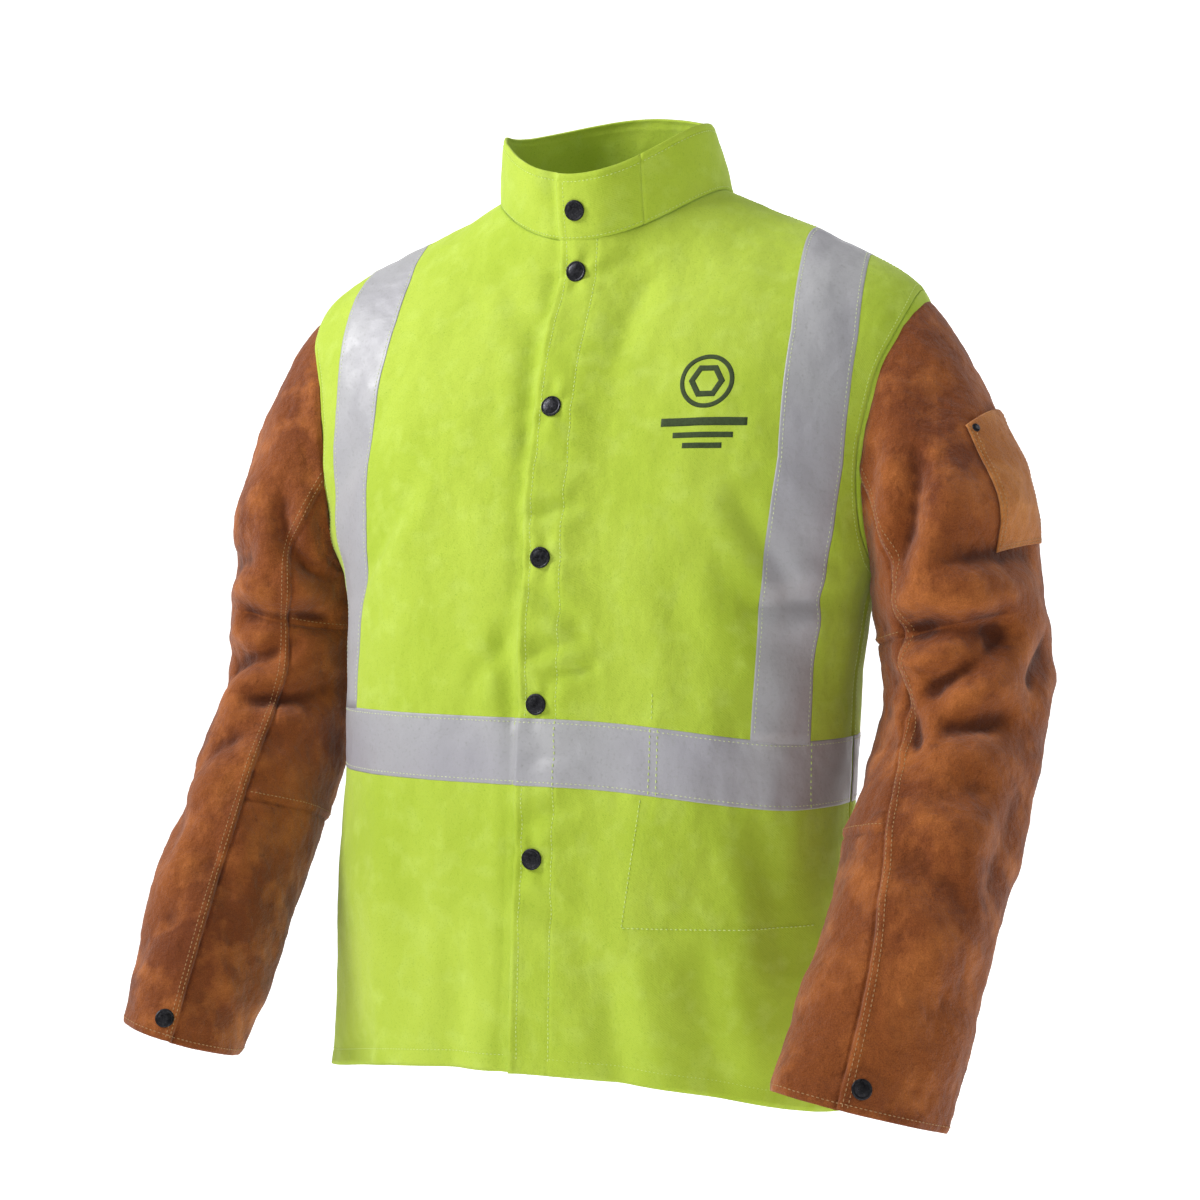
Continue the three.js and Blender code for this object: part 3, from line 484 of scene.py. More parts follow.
def thread(name, light, deep):
    made, shader, add = finish(name, .7, Specular_IOR_Level=.3, Sheen_Weight=.1)
    body = add("TexCoord").outputs["Object"]
    colour = mix(add, light, deep, grain(add, body, 600, 2))
    shader.id_data.links.new(colour, shader.inputs["Base Color"])
    ply = add("TexWave", {"Vector": body, "Scale": 900, "Distortion": 1})
    relief(add, shader, [(ply.outputs["Fac"], .3, .0002)])
    return made


COTTON = cotton_twill()
TAPE = reflective_tape()
RUSSET = split_leather("russet split leather", (.33, .096, .021, 1), (.20, .052, .010, 1),
                       (.125, .030, .007, 1), (.045, .010, .003, 1))
TAN = split_leather("tan split leather", (.48, .18, .048, 1), (.36, .12, .028, 1),
                    (.26, .080, .018, 1), (.12, .032, .008, 1))
METAL = gunmetal()
LIME_THREAD = thread("lime thread", (.70, .84, .30, 1), (.56, .72, .18, 1))
SILVER_THREAD = thread("pale thread", (.70, .76, .48, 1), (.55, .62, .36, 1))
TAN_THREAD = thread("tan thread", (.52, .31, .14, 1), (.40, .21, .08, 1))
INK = thread("dark printing ink", (.045, .075, .018, 1), (.03, .05, .012, 1))


# ---------- making pieces ----------
def to_frame(points):
    return (points + LOOP_TO_NECK) * 0.001


def settle(bm, name, material):
    """The bmesh as an object in the scene, smooth shaded, in one finish."""
    mesh = bpy.data.meshes.new(name)
    bm.to_mesh(mesh)
    bm.free()
    mesh.polygons.foreach_set("use_smooth", [True] * len(mesh.polygons))
    mesh.materials.append(material)
    piece = bpy.data.objects.new(name, mesh)
    bpy.context.scene.collection.objects.link(piece)
    return piece


def weave(name, us, vs, at, wall, material, closed=False, along=None):
    """A sheet with lines at us and vs, laid where at(u, v) says, wall millimetres thick inwards.

    UVs follow the sheet in metres. The attribute raised is 0.5 on the plain shape, more on the
    ridges of folds and less in their valleys; along keeps along(u, v).
    """
    us, vs = np.asarray(us, float), np.asarray(vs, float)
    bm = bmesh.new()
    bmesh.ops.create_grid(bm, x_segments=len(us) - 1, y_segments=len(vs) - 1, size=1)
    corner = np.array([v.co[:2] for v in bm.verts]) / 2 + 0.5
    i = np.rint(corner[:, 0] * (len(us) - 1)).astype(int)
    j = np.rint(corner[:, 1] * (len(vs) - 1)).astype(int)
    points, normals = at(us[i], vs[j])
    table = np.zeros((len(us), len(vs), 3))
    table[i, j] = points
    run = np.zeros((len(us), len(vs), 2))
    run[1:, :, 0] = np.cumsum(np.linalg.norm(np.diff(table, axis=0), axis=2), axis=0)
    run[:, 1:, 1] = np.cumsum(np.linalg.norm(np.diff(table, axis=1), axis=2), axis=1)
    run[:, :, 0] -= run[-1:, :, 0] / 2
    uv = run[i, j] * 0.001
    # how far each point stands off the surface averaged round it
    flat = table.copy()
    for _ in range(14):
        for axis in (0, 1):
            before, after = np.roll(flat, 1, axis), np.roll(flat, -1, axis)
            edge = (slice(1, -1), slice(None)) if axis == 0 else (slice(None), slice(1, -1))
            if closed and axis == 0:
                before[0], after[-1] = flat[-2], flat[1]
                edge = (slice(None), slice(None))
            flat[edge] = ((before + after + 2 * flat) / 4)[edge]
    stand = ((table[i, j] - flat[i, j]) * normals).sum(1)
    lift = bm.verts.layers.float.new("raised")
    way = bm.verts.layers.float.new("along")
    way_at = (along(us[i], vs[j]) if along else np.zeros(len(i))).tolist()
    sheet_uv = bm.loops.layers.uv.new("sheet")
    for vert, place, off, w in zip(bm.verts, to_frame(points).tolist(), stand.tolist(), way_at):
        vert.co = place
        vert[lift] = min(1, max(0, 0.5 + 0.14 * off))
        vert[way] = w
    bm.verts.index_update()
    uv = uv.tolist()
    for face in bm.faces:
        for loop in face.loops:
            loop[sheet_uv].uv = uv[loop.vert.index]
    bm.normal_update()
    middle = len(bm.faces) // 2 + len(us) // 2
    bm.faces.ensure_lookup_table()
    face = bm.faces[middle]
    if face.normal.dot(Vector(normals[face.verts[0].index])) < 0:
        bmesh.ops.reverse_faces(bm, faces=bm.faces[:])
    if closed:
        bmesh.ops.remove_doubles(bm, verts=bm.verts[:], dist=1e-6)
    piece = settle(bm, name, material)
    if wall:
        solid = piece.modifiers.new("wall", "SOLIDIFY")
        solid.thickness = wall * 0.001
        solid.offset = -1
    return piece


def bands(*stops):
    """Grid lines through the stops: (value, count to the next), ..., last value."""
    lines = [np.linspace(a[0], b[0] if isinstance(b, tuple) else b, a[1], endpoint=False)
             for a, b in zip(stops, stops[1:])]
    return np.concatenate(lines + [[stops[-1]]])


def sew(name, rows, material, pitch=3.4, length=2.5, thick=.42, sink=.12, weights=None):
    """Rows of stitches: each row is points and outward directions in millimetres."""
    bm = bmesh.new()
    mark = bm.verts.layers.float.new("along")
    for row, (points, normals) in enumerate(rows):
        step = np.linalg.norm(np.diff(points, axis=0), axis=1)
        run = np.concatenate([[0], np.cumsum(step)])
        count = max(2, int(run[-1] / pitch))
        at = (np.arange(count) + .5) * run[-1] / count
        here = np.stack([np.interp(at, run, points[:, k]) for k in range(3)], 1)
        ahead = unit(np.stack([np.interp(at + .5, run, points[:, k])
                               - np.interp(at - .5, run, points[:, k]) for k in range(3)], 1))
        up = unit(np.stack([np.interp(at, run, normals[:, k]) for k in range(3)], 1))
        across = unit(np.cross(up, ahead))
        up = np.cross(ahead, across)
        centre = to_frame(here + up * (thick - sink - .2))
        follow = np.interp(at, run, weights[row]) if weights else np.zeros(count)
        for c, a, b, n, w in zip(centre, ahead, across, up, follow):
            m = Matrix(np.array([a * length / 2, b * thick, n * thick]).T * 0.001).to_4x4()
            m.translation = c.tolist()
            made = bmesh.ops.create_icosphere(bm, subdivisions=1, radius=1, matrix=m)
            for vert in made["verts"]:
                vert[mark] = w
    bmesh.ops.recalc_face_normals(bm, faces=bm.faces[:])
    return settle(bm, name, material)


# how pieces go with the bodies
def with_shell(piece):
    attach(piece, "shell")
    return piece


def with_placket(piece):
    """Bakes the piece's placement into its mesh."""
    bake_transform(piece)
    return piece


SIDES = {1: "left", -1: "right"}


def with_upper_sleeve(piece, side):
    """Bakes the sleeve head's placement into its mesh and reads its attribute along.

    The attribute along is 0 on the armhole seam and 1 where the arm's own sleeve starts.
    """
    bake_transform(piece)
    along = np.zeros(len(piece.data.vertices), np.float32)
    piece.data.attributes["along"].data.foreach_get("value", along)
    return piece


def with_elbow(piece, side):
    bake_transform(piece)
    return piece


# ---------- camera and stage ----------
def look(thing, eye, target):
    thing.location = eye
    thing.rotation_euler = (Vector(target) - Vector(eye)).to_track_quat("-Z", "Y").to_euler()


VIEW_ANGLE, VIEW_RISE, VIEW_DISTANCE = math.radians(22), math.radians(2.0), 1.9
target = Vector((0, -.082, -.316))
camera = bpy.data.objects.new("camera", bpy.data.cameras.new("camera"))
camera.data.lens = 68.4
camera.data.sensor_width = 36
camera.data.shift_x = -.009
camera.data.shift_y = 0
away = Vector((math.sin(VIEW_ANGLE) * math.cos(VIEW_RISE),
               -math.cos(VIEW_ANGLE) * math.cos(VIEW_RISE), math.sin(VIEW_RISE)))
look(camera, target + VIEW_DISTANCE * away, target)
bpy.context.scene.collection.objects.link(camera)
bpy.context.scene.camera = camera


def softbox(name, eye, size, power, colour=(1, 1, 1)):
    light = bpy.data.objects.new(name, bpy.data.lights.new(name, "AREA"))
    light.data.shape = "RECTANGLE"
    light.data.size, light.data.size_y = size
    light.data.energy = power
    light.data.color = colour
    look(light, eye, (0, -.1, -.22))
    bpy.context.scene.collection.objects.link(light)


softbox("key", (-1.55, -1.15, 1.1), (.7, 1.0), 47)
softbox("fill", (.7, -3.0, .3), (1.2, 1.4), 9)
softbox("rim", (2.2, .4, 1.2), (.8, 1.2), 9)
softbox("top", (-.2, -.4, 1.9), (1.2, 1.2), 9)

world = bpy.data.worlds.new("studio")
bpy.context.scene.world = world
world.use_nodes = True
world.node_tree.nodes["Background"].inputs["Color"].default_value = (1, 1, 1, 1)
world.node_tree.nodes["Background"].inputs["Strength"].default_value = .18
bpy.context.scene.view_settings.view_transform = "Standard"

# a sweep of pale paper: floor in front, curving up into the backdrop
FLOOR, SWEEP_FROM, SWEEP = -1.3, 2.2, 1.5
bm = bmesh.new()
bmesh.ops.create_grid(bm, x_segments=1, y_segments=80, size=8)
for vert in bm.verts:
    over = max(0, vert.co.y - SWEEP_FROM)
    turn = min(over / SWEEP, math.pi / 2)
    vert.co.y = min(vert.co.y, SWEEP_FROM) + SWEEP * math.sin(turn)
    vert.co.z = FLOOR + SWEEP * (1 - math.cos(turn)) + max(0, over - SWEEP * math.pi / 2)
paper = bpy.data.meshes.new("floor")
bm.to_mesh(paper)
bm.free()
paper.polygons.foreach_set("use_smooth", [True] * len(paper.polygons))
floor = bpy.data.objects.new("floor", paper)
bpy.context.scene.collection.objects.link(floor)
pale, pale_shader, add = finish("pale paper", .95, Specular_IOR_Level=.1, Emission_Strength=.68)
pale_shader.inputs["Emission Color"].default_value = (1, 1, 1, 1)
spots = add("TexCoord").outputs["Object"]
pale_shader.id_data.links.new(mix(add, (.93, .93, .93, 1), (.90, .90, .90, 1),
                                  grain(add, spots, 3)), pale_shader.inputs["Base Color"])
paper.materials.append(pale)

# ---------- body panels ----------
T_ROWS = np.linspace(0, 1, 238)
ROLL = 2.0                       # the edge of a panel turns in over this many millimetres


def edge_roll(distance, depth=1.2):
    """A seam edge turned in: distance from it in millimetres."""
    return -depth * bell(np.maximum(distance, 0), ROLL)


def hem_lift(p_z, phi):
    """The turned-up hem stands a little proud, with a groove at its stitching."""
    side, front, back = RINGS[0, 5:8]
    c = np.cos(np.radians(phi))
    low = lerp(side, np.where(c > 0, front, back), c * c)
    up = p_z - low
    return .5 * smooth(HEM + 2, HEM - 1, up) - .7 * bell(up - HEM, 1.6)


def panel(phi, t, off, from_side=None):
    z = torso(phi, t)[:, 2]
    extra = hem_lift(z, phi)
    if from_side is not None:
        extra = extra + edge_roll(from_side)
    return on_body(phi, t, off + extra)


def right_front(u, t):
    inner, outer = angle_at_x(RINGS, UNDERLAP + 0 * t, t), side_angle(t)
    phi = -lerp(-inner, outer, u)
    return panel(phi, t, CLOTH, (1 - u) * (inner + outer) * 3.4)


def left_front(x_or_u, t):
    """Below 1 the first number is a share of the panel; from 1 to 2 it runs across the placket."""
    x = lerp(FOLD_END, PLACKET_EDGE, np.clip(x_or_u - 1, 0, 1))
    edge = angle_at_x(RINGS, x, t)
    seam = side_angle(t)
    share = np.clip(x_or_u, 0, 1)
    phi = np.where(x_or_u > 1, edge, lerp(seam, edge, share))
    x_here = np.where(x_or_u > 1, x, FOLD_END + 1)
    thick = CLOTH + .5 * smooth(FOLD_END, PLACKET_SEAM, x_here)
    # the placket is two layers deep, and its topstitching draws it in
    groove = -.5 * bell(x_here - PLACKET_SEAM, 1.3) - .5 * bell(x_here - PLACKET_EDGE - 6, 1.3)
    end = -.8 * bell(x_here - PLACKET_EDGE, 1.5)
    return panel(phi, t, thick + placket_lift(x_here) + groove + end, x_or_u * (seam - edge) * 3.4)


def back(u, t):
    seam = side_angle(t)
    phi = lerp(seam, 360 - seam, u)
    return panel(phi, t, CLOTH, np.minimum(u, 1 - u) * (360 - 2 * seam) * 3.4)


right_piece = with_shell(weave("right_front", bands((0, 100), (.97, 8), 1), T_ROWS, right_front,
                               CLOTH, COTTON))
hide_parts("right_front_panel")

left_piece = with_placket(weave("left_front", bands((0, 8), (.03, 92), (1, 44), (1.96, 5), 2),
                                T_ROWS, left_front, 1.3 * CLOTH, COTTON))
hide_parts("left_front_panel", "left_front_fold", "placket_band")

back_piece = with_shell(weave("back", bands((0, 6), (.015, 168), (.985, 6), 1), T_ROWS, back,
                              CLOTH, COTTON))
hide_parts("back_panel")

# ---------- collar ----------
COLLAR_WALL = 2.2


def rim_shape(t, height=60):
    """The top edge is rounded over, stitching draws it in below, and the foot tucks under."""
    top = (1 - t) * height
    return -.8 * bell(top, 1.6) - .4 * bell(top - 6, 1.2) - 2.2 * smooth(.05, -.02, t)


def collar_band(u, t):
    start = angle_at_x(COLLAR, FOLD_END + 0 * t, np.clip(t, 0, 1))
    end = 360 + angle_at_x(COLLAR, UNDERLAP + 0 * t, np.clip(t, 0, 1))
    return on_collar(lerp(start, end, u), t, 1.6 + rim_shape(t))


def collar_end(u, t):
    x = lerp(FOLD_END, PLACKET_EDGE, u)
    corner = 5 * (1 - np.sqrt(1 - np.clip((u - .92) / .08, 0, 1) ** 2)) / 55
    rise = lerp(-.02, 1 - corner, (t + .02) / 1.02)
    off = placket_lift(x) + lerp(1.6, 1.9, smooth(0, .5, u)) + rim_shape(t)
    off -= .7 * bell(x - PLACKET_EDGE, 1.5)
    off -= .35 * bell(x - PLACKET_EDGE - 6, 1.2)
    return on_collar(angle_at_x(COLLAR, x, np.clip(rise, 0, 1)), rise, off)


COLLAR_ROWS = bands((-.02, 4), (.06, 26), (.88, 9), 1)
band = with_shell(weave("collar", np.linspace(0, 1, 190), COLLAR_ROWS, collar_band, COLLAR_WALL,
                        COTTON))
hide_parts("collar_band")
end_piece = with_placket(weave("collar_end", bands((0, 30), (.93, 6), 1), COLLAR_ROWS, collar_end,
                               COLLAR_WALL, COTTON))
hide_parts("collar_fold", "collar_snap_end")

# ---------- reflective tape ----------
TAPE_OVER = .45                  # the tape's face above the cloth
TAPE_WALL = .35


def waist_t(phi, w):
    turn = np.where(phi < 0, phi + 360, phi)
    return t_at_z(waist_height(turn) + w * TAPE_WIDTH, phi)


def tape_rows(count=18):
    return bands((-.5, 2), (-.46, count), (.46, 2), .5)


def tape_edge(w):
    """The stitching near both edges draws the tape in."""
    return -.3 * bell((abs(w) - .44) * TAPE_WIDTH, 1.0) - .25 * bell((abs(w) - .5) * TAPE_WIDTH, .7)


def waist_strip(from_phi, to_phi):
    def at(u, w):
        phi = lerp(from_phi, to_phi, u)
        t = waist_t(phi, w)
        return on_body(phi, t, CLOTH + TAPE_OVER + tape_edge(w))
    return at


def left_strip(x_or_u, w):
    x = lerp(FOLD_END, PLACKET_EDGE, np.clip(x_or_u - 1, 0, 1))
    t = waist_t(0 * x, w)
    for _ in range(2):
        t = waist_t(angle_at_x(RINGS, x, t), w)
    edge = angle_at_x(RINGS, x, t)
    phi = np.where(x_or_u > 1, edge, lerp(89.6, edge, np.clip(x_or_u, 0, 1)))
    t = waist_t(phi, w)
    x_here = np.where(x_or_u > 1, x, FOLD_END + 1)
    thick = CLOTH + .5 * smooth(FOLD_END, PLACKET_SEAM, x_here) + placket_lift(x_here)
    return on_body(phi, t, thick + TAPE_OVER + tape_edge(w))


under_edge = float(angle_at_x(RINGS, np.array([PLACKET_EDGE + 6.]), np.array([.26]))[0])
tape_right = with_shell(weave("waist_tape_right", np.linspace(0, 1, 120), tape_rows(),
                              waist_strip(-89.6, under_edge), TAPE_WALL, TAPE))
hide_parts("waist_tape_right_front")
tape_left = with_placket(weave("waist_tape_left", bands((0, 90), (1, 30), 2), tape_rows(),
                               left_strip, TAPE_WALL, TAPE))
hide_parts("waist_tape_left_front", "waist_tape_fold", "waist_tape_placket")
tape_back = with_shell(weave("waist_tape_back", np.linspace(0, 1, 200), tape_rows(),
                             waist_strip(90.4, 269.6), TAPE_WALL, TAPE))
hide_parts("waist_tape_back")

# the shoulder tapes run from the waist tape, over the shoulder and down the back
# X of the tape by height round the shoulder, from the waist up
TAPE_X = {1: ([-.8, -.5, -.2, .2, .9], [180, 189, 201, 205, 198]),
          -1: ([-.8, -.3, .2, .9], [197, 196, 192, 190])}


def tape_middle(angle, side):
    """Walks out from inside the shoulder until the surface narrows to the tape's X."""
    turn, rise = -80 * np.cos(angle), .8 * np.sin(angle)
    x = np.interp(np.sin(angle), *TAPE_X[side])
    lo, hi = np.zeros_like(angle), np.ones_like(angle)
    for _ in range(30):
        m = (lo + hi) / 2
        out = torso(90 + turn * m, .62 + rise * m)[:, 0] > x
        lo, hi = np.where(out, m, lo), np.where(out, hi, m)
    return 90 + turn * hi, .62 + rise * hi


def tape_reach(lo, hi, side):
    """The angle at which the tape meets the top of the waist tape."""
    for _ in range(24):
        m = (lo + hi) / 2
        phi, t = tape_middle(np.array([m]), side)
        real = phi if side > 0 else (360 if phi[0] > 90 else 0) - phi
        if torso(phi, t)[0, 2] < waist_height(real)[0] + TAPE_WIDTH / 2 - 1.5:
            lo = m
        else:
            hi = m
    return hi


def nearest(points, phi, t):
    for _ in range(6):
        a = (torso(phi + .2, t) - torso(phi - .2, t)) / .4
        b = (torso(phi, t + .002) - torso(phi, t - .002)) / .004
        r = points - torso(phi, t)
        aa, bb, ab = (a * a).sum(1), (b * b).sum(1), (a * b).sum(1)
        ra, rb = (r * a).sum(1), (r * b).sum(1)
        det = aa * bb - ab * ab
        phi, t = phi + (ra * bb - rb * ab) / det, t + (rb * aa - ra * ab) / det
    return phi, t


def shoulder_strip(side):
    first, last = tape_reach(-1.4, 0, side), tape_reach(math.pi + 1.4, math.pi, side)

    def at(w, v):
        angle = lerp(first, last, v)
        phi, t = tape_middle(angle, side)
        ahead = unit(torso(*tape_middle(angle + .004, side))
                     - torso(*tape_middle(angle - .004, side)))
        n = normal_of(torso, phi, t)
        across = unit(np.cross(ahead, n))
        phi, t = nearest(torso(phi, t) + across * (w * TAPE_WIDTH)[:, None], phi, t)
        phi = phi if side > 0 else -phi % 360
        return on_body(phi, t, CLOTH + TAPE_OVER + tape_edge(w))
    return at


STRIP = {side: shoulder_strip(side) for side in (1, -1)}
for side, word in SIDES.items():
    strip = weave("shoulder_tape_" + word, tape_rows(), np.linspace(0, 1, 320), STRIP[side],
                  TAPE_WALL, TAPE)
    with_shell(strip)
    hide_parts("shoulder_tape_" + word)

# ---------- sleeves ----------
AROUND = np.unique(np.concatenate([np.linspace(-100, 260, 151), UNDER_FROM + np.linspace(-5, 5, 11),
                                   UNDER_TO + np.linspace(-5, 5, 11)]))
HEADS, SLEEVE_AT = {}, {}
for side, word in SIDES.items():
    def leather_at(angle, s, side=side):
        return on_sleeve(side, angle, s, LEATHER - .8 * bell((5 - s) * 100, 2))

    def head_at(angle, s, side=side):
        return on_sleeve(side, angle, s, LEATHER - .3 * smooth(JOIN - .02, JOIN, s))

    SLEEVE_AT[side] = leather_at
    head_rows = np.unique(np.concatenate([np.linspace(0, 1, 66), np.linspace(1, JOIN - .03, 16),
                                          np.linspace(JOIN - .03, JOIN, 7)]))
    head = weave(word + "_sleeve_top", AROUND, head_rows, head_at, LEATHER, RUSSET, closed=True,
                 along=lambda angle, s: smooth(0, 1, s))
    with_upper_sleeve(head, side)
    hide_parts(word + "_sleeve_head", word + "_upper_top_sleeve", word + "_upper_under_sleeve")
    HEADS[side] = head

    def lower_at(angle, s, side=side):
        tuck = .3 * smooth(JOIN - .01, JOIN - .03, s)
        return on_sleeve(side, angle, s, LEATHER - tuck - .8 * bell((5 - s) * 100, 1.6))

    lower = weave(word + "_lower_sleeve", AROUND,
                  bands((JOIN - .03, 6), (JOIN, 122), (4.94, 4), 5), lower_at, LEATHER, RUSSET,
                  closed=True)
    with_elbow(lower, side)
    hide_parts(word + "_elbow", word + "_lower_top_sleeve", word + "_lower_under_sleeve")

# ---------- pocket on the upper arm ----------
POCKET = (40.15, -4.15, 1.06, .52)    # front edge, rear edge, low end, mouth
POCKET_WIDE, POCKET_LONG = 76, 100


def on_pocket(u, v):
    """The pocket bulges over its pens, and is sewn flat at its sides and its foot."""
    front, rear, low, mouth = POCKET
    angle, s = lerp(rear, front, u), lerp(mouth, low, v)
    bulge = 2.0 + 1.6 * np.sin(np.pi * np.clip(u, 0, 1)) * smooth(1, .6, v)
    edge = np.minimum(np.minimum(u, 1 - u) * POCKET_WIDE, (1 - v) * POCKET_LONG)
    rounded = -.9 * bell(edge, 1.4) - .7 * bell(edge - 3.2, 1.1) - .8 * bell(v * POCKET_LONG, 1.4)
    return on_sleeve(1, angle, s, 2 * LEATHER + bulge + rounded)


pocket = weave("pen_pocket_leather", bands((0, 6), (.05, 34), (.95, 6), 1),
               bands((0, 5), (.05, 36), (.94, 6), 1), on_pocket, LEATHER, TAN)
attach(pocket, "left_upper_sleeve")
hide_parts("pen_pocket")


# ---------- inside pocket and hanger loop ----------
def inside_pocket(x_share, z_share):
    x, z = lerp(72, 208, x_share), lerp(-574, -404, z_share)
    t = t_at_z(z, angle_at_x(RINGS, x, .3 + 0 * x))
    t = t_at_z(z, angle_at_x(RINGS, x, t))
    phi = angle_at_x(RINGS, x, t)
    sag = 2 * np.sin(np.pi * x_share) * smooth(0, .35, 1 - z_share)
    return on_body(phi, t, -1.3 - sag)


inner = with_shell(weave("inside_pocket_cloth", np.linspace(0, 1, 41), np.linspace(0, 1, 51),
                         inside_pocket, 1.0, COTTON))
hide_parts("inside_pocket")


def hanger(u, w):
    """A band of tape from foot to foot: its ends turn back to the neck seam."""
    run = (u - .5) * 72
    x = np.clip(run, -31.4, 31.4)
    back_by = np.clip(abs(run) - 31.4, 0, 5)
    twist = .35 * mottle(np.stack([run, w * 9, 0 * run], 1), (14, 9, 9), 3.3)
    p = np.stack([x, back_by + .3 * twist, w * 8.6], 1) - LOOP_TO_NECK
    n = np.stack([0 * x, -1 + 0 * x, 0 * x], 1)
    return p, n


loop = with_shell(weave("hanger_tape", np.linspace(0, 1, 61), np.linspace(-.5, .5, 9), hanger, 1.0,
                        COTTON))
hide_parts("hanger_loop")


# ---------- stitching ----------
def seam_row(at, us, vs):
    us, vs = np.broadcast_arrays(np.asarray(us, float), np.asarray(vs, float))
    return at(us, vs)


def on_cloth(phi, t):
    return on_body(phi, t, CLOTH)


def across_placket(x):
    """The panel's first number, from 1 to 2, at this X across the placket."""
    return 1 + (FOLD_END - x) / (FOLD_END - PLACKET_EDGE)


topstitch = [seam_row(left_front, across_placket(x), np.linspace(.012, .998, 260))
             for x in (PLACKET_SEAM, PLACKET_EDGE + 6)]
placket_rows = sew("placket_stitching", topstitch, LIME_THREAD, 3.4, 2.5, .45)
with_placket(placket_rows)

def hem_t(phi):
    side, ahead, behind = RINGS[0, 5:8]
    c = np.cos(np.radians(phi))
    return t_at_z(lerp(side, np.where(c > 0, ahead, behind), c ** 2) + HEM, phi)


def hem_row(a, b, count=220):
    phi = np.linspace(a, b, count)
    return on_cloth(phi, hem_t(phi))


hem_left = left_front(np.linspace(.01, 1.96, 300), hem_t(np.linspace(89, -4, 300)))
with_placket(sew("left_hem_stitching", [hem_left], LIME_THREAD, 3.2, 2.3, .38))
body_rows = [hem_row(-89, 6), hem_row(91, 269, 400)]
# round the armholes, on the cloth beside the sleeve
for side in (1, -1):
    turn = np.linspace(0, 2 * np.pi, 300)
    phi = side * (90 - 1.06 * ARM_SPREAD * np.cos(turn))
    t = ARM_MID + 1.06 * ARM_HALF * np.sin(turn)
    body_rows.append(on_cloth(phi % 360 if side < 0 else phi, t))
# the seam over each shoulder, from the armhole to the collar, and the side seams
for phi in (88.4, 91.6, -88.4, -91.6):
    body_rows.append(seam_row(on_cloth, phi, np.linspace(.785, .985, 70)))
    body_rows.append(seam_row(on_cloth, phi, np.linspace(.02, .40, 120)))
with_shell(sew("body_stitching", body_rows, LIME_THREAD, 3.2, 2.3, .36))

# lime rows across the waist tape where the inside pocket and the placket are sewn through it
across = np.linspace(-.5, .5, 24)


def tape_cross(x):
    if x < FOLD_END:
        u = across_placket(x)
    else:
        edge = float(angle_at_x(RINGS, np.array([float(x)]), np.array([.37]))[0])
        u = (89.6 - edge) / (89.6 - float(angle_at_x(RINGS, np.array([FOLD_END]),
                                                      np.array([.37]))[0]))
    return seam_row(left_strip, u, across)


with_placket(sew("tape_cross_stitching", [tape_cross(x) for x in (PLACKET_SEAM, 91, 97, 206)],
                 LIME_THREAD, 4.6, 3.0, .5))

# the inside pocket shows outside as rows of stitches
x_side, z_low = lerp(84, 72, np.linspace(0, 1, 60)), np.linspace(-476, -574, 60)
edge_rows = []
for xs, zs in ((x_side, z_low), (np.linspace(72, 206, 70), np.full(70, -574.)),
               (np.full(30, 91.), np.linspace(-416, -395, 30))):
    t = t_at_z(zs, angle_at_x(RINGS, xs, .3 + 0 * xs))
    edge_rows.append(on_cloth(angle_at_x(RINGS, xs, t), t))
with_shell(sew("inside_pocket_stitching", edge_rows, LIME_THREAD, 3.6, 2.7, .5))

# collar: a row below its rim and one above its foot
rim = .885
collar_rows = [seam_row(collar_band, np.linspace(.004, .996, 400), rim),
               seam_row(collar_band, np.linspace(.004, .996, 400), .06)]
with_shell(sew("collar_stitching", collar_rows, LIME_THREAD, 3.2, 2.3, .38))
end_rows = [seam_row(collar_end, np.linspace(.01, .91, 60), rim),
            seam_row(collar_end, .91, np.linspace(.07, rim, 40)),
            seam_row(collar_end, np.linspace(.01, .97, 60), .07)]
with_placket(sew("collar_end_stitching", end_rows, LIME_THREAD, 3.2, 2.3, .38))

# both edges of every tape
spread = (-.44, .44)
right_rows = [seam_row(waist_strip(-89.6, under_edge), np.linspace(.004, .996, 200), w)
              for w in spread]
back_rows = [seam_row(waist_strip(90.4, 269.6), np.linspace(.003, .997, 400), w) for w in spread]
shoulder_rows = [seam_row(STRIP[side], w, np.linspace(.002, .998, 500))
                 for side in (1, -1) for w in spread]
with_shell(sew("tape_stitching", right_rows + back_rows + shoulder_rows, SILVER_THREAD, 3.6, 2.6, .46))
with_placket(sew("left_tape_stitching", [seam_row(left_strip, np.linspace(.004, 1.985, 260), w)
                                         for w in spread], SILVER_THREAD, 3.6, 2.6, .46))

# sleeves: double rows beside the long seams, one row above each piecing seam
for side, word in SIDES.items():
    at = SLEEVE_AT[side]
    head_rows, lower_rows = [], []
    for angle in (UNDER_FROM - 2.6, UNDER_FROM - 6.2, UNDER_TO + 2.6, UNDER_TO + 6.2):
        s = np.linspace(.05, JOIN - .04, 90)
        head_rows.append(seam_row(at, angle, s))
        s = np.linspace(JOIN - .02, 4.98, 300)
        lower_rows.append(seam_row(at, angle, s))
    ring = np.linspace(-99, 260, 300)
    lower_rows.append(seam_row(at, ring, 4.955))
    inner_arc = np.linspace(UNDER_FROM + 3, UNDER_TO - 3, 120)
    head_rows.append(seam_row(at, inner_arc, CROSS_SEAMS[0] - .045))
    lower_rows.append(seam_row(at, inner_arc, CROSS_SEAMS[1] - .045))
    share = smooth(0, 1, np.linspace(.05, JOIN - .04, 90))
    head_follow = [share] * 4 + [np.full(120, 1.)]
    with_upper_sleeve(sew(word + "_sleeve_top_stitching", head_rows, TAN_THREAD, 3.6, 2.6, .42,
                          weights=head_follow), side)
    with_elbow(sew(word + "_lower_sleeve_stitching", lower_rows, TAN_THREAD, 3.6, 2.6, .42), side)

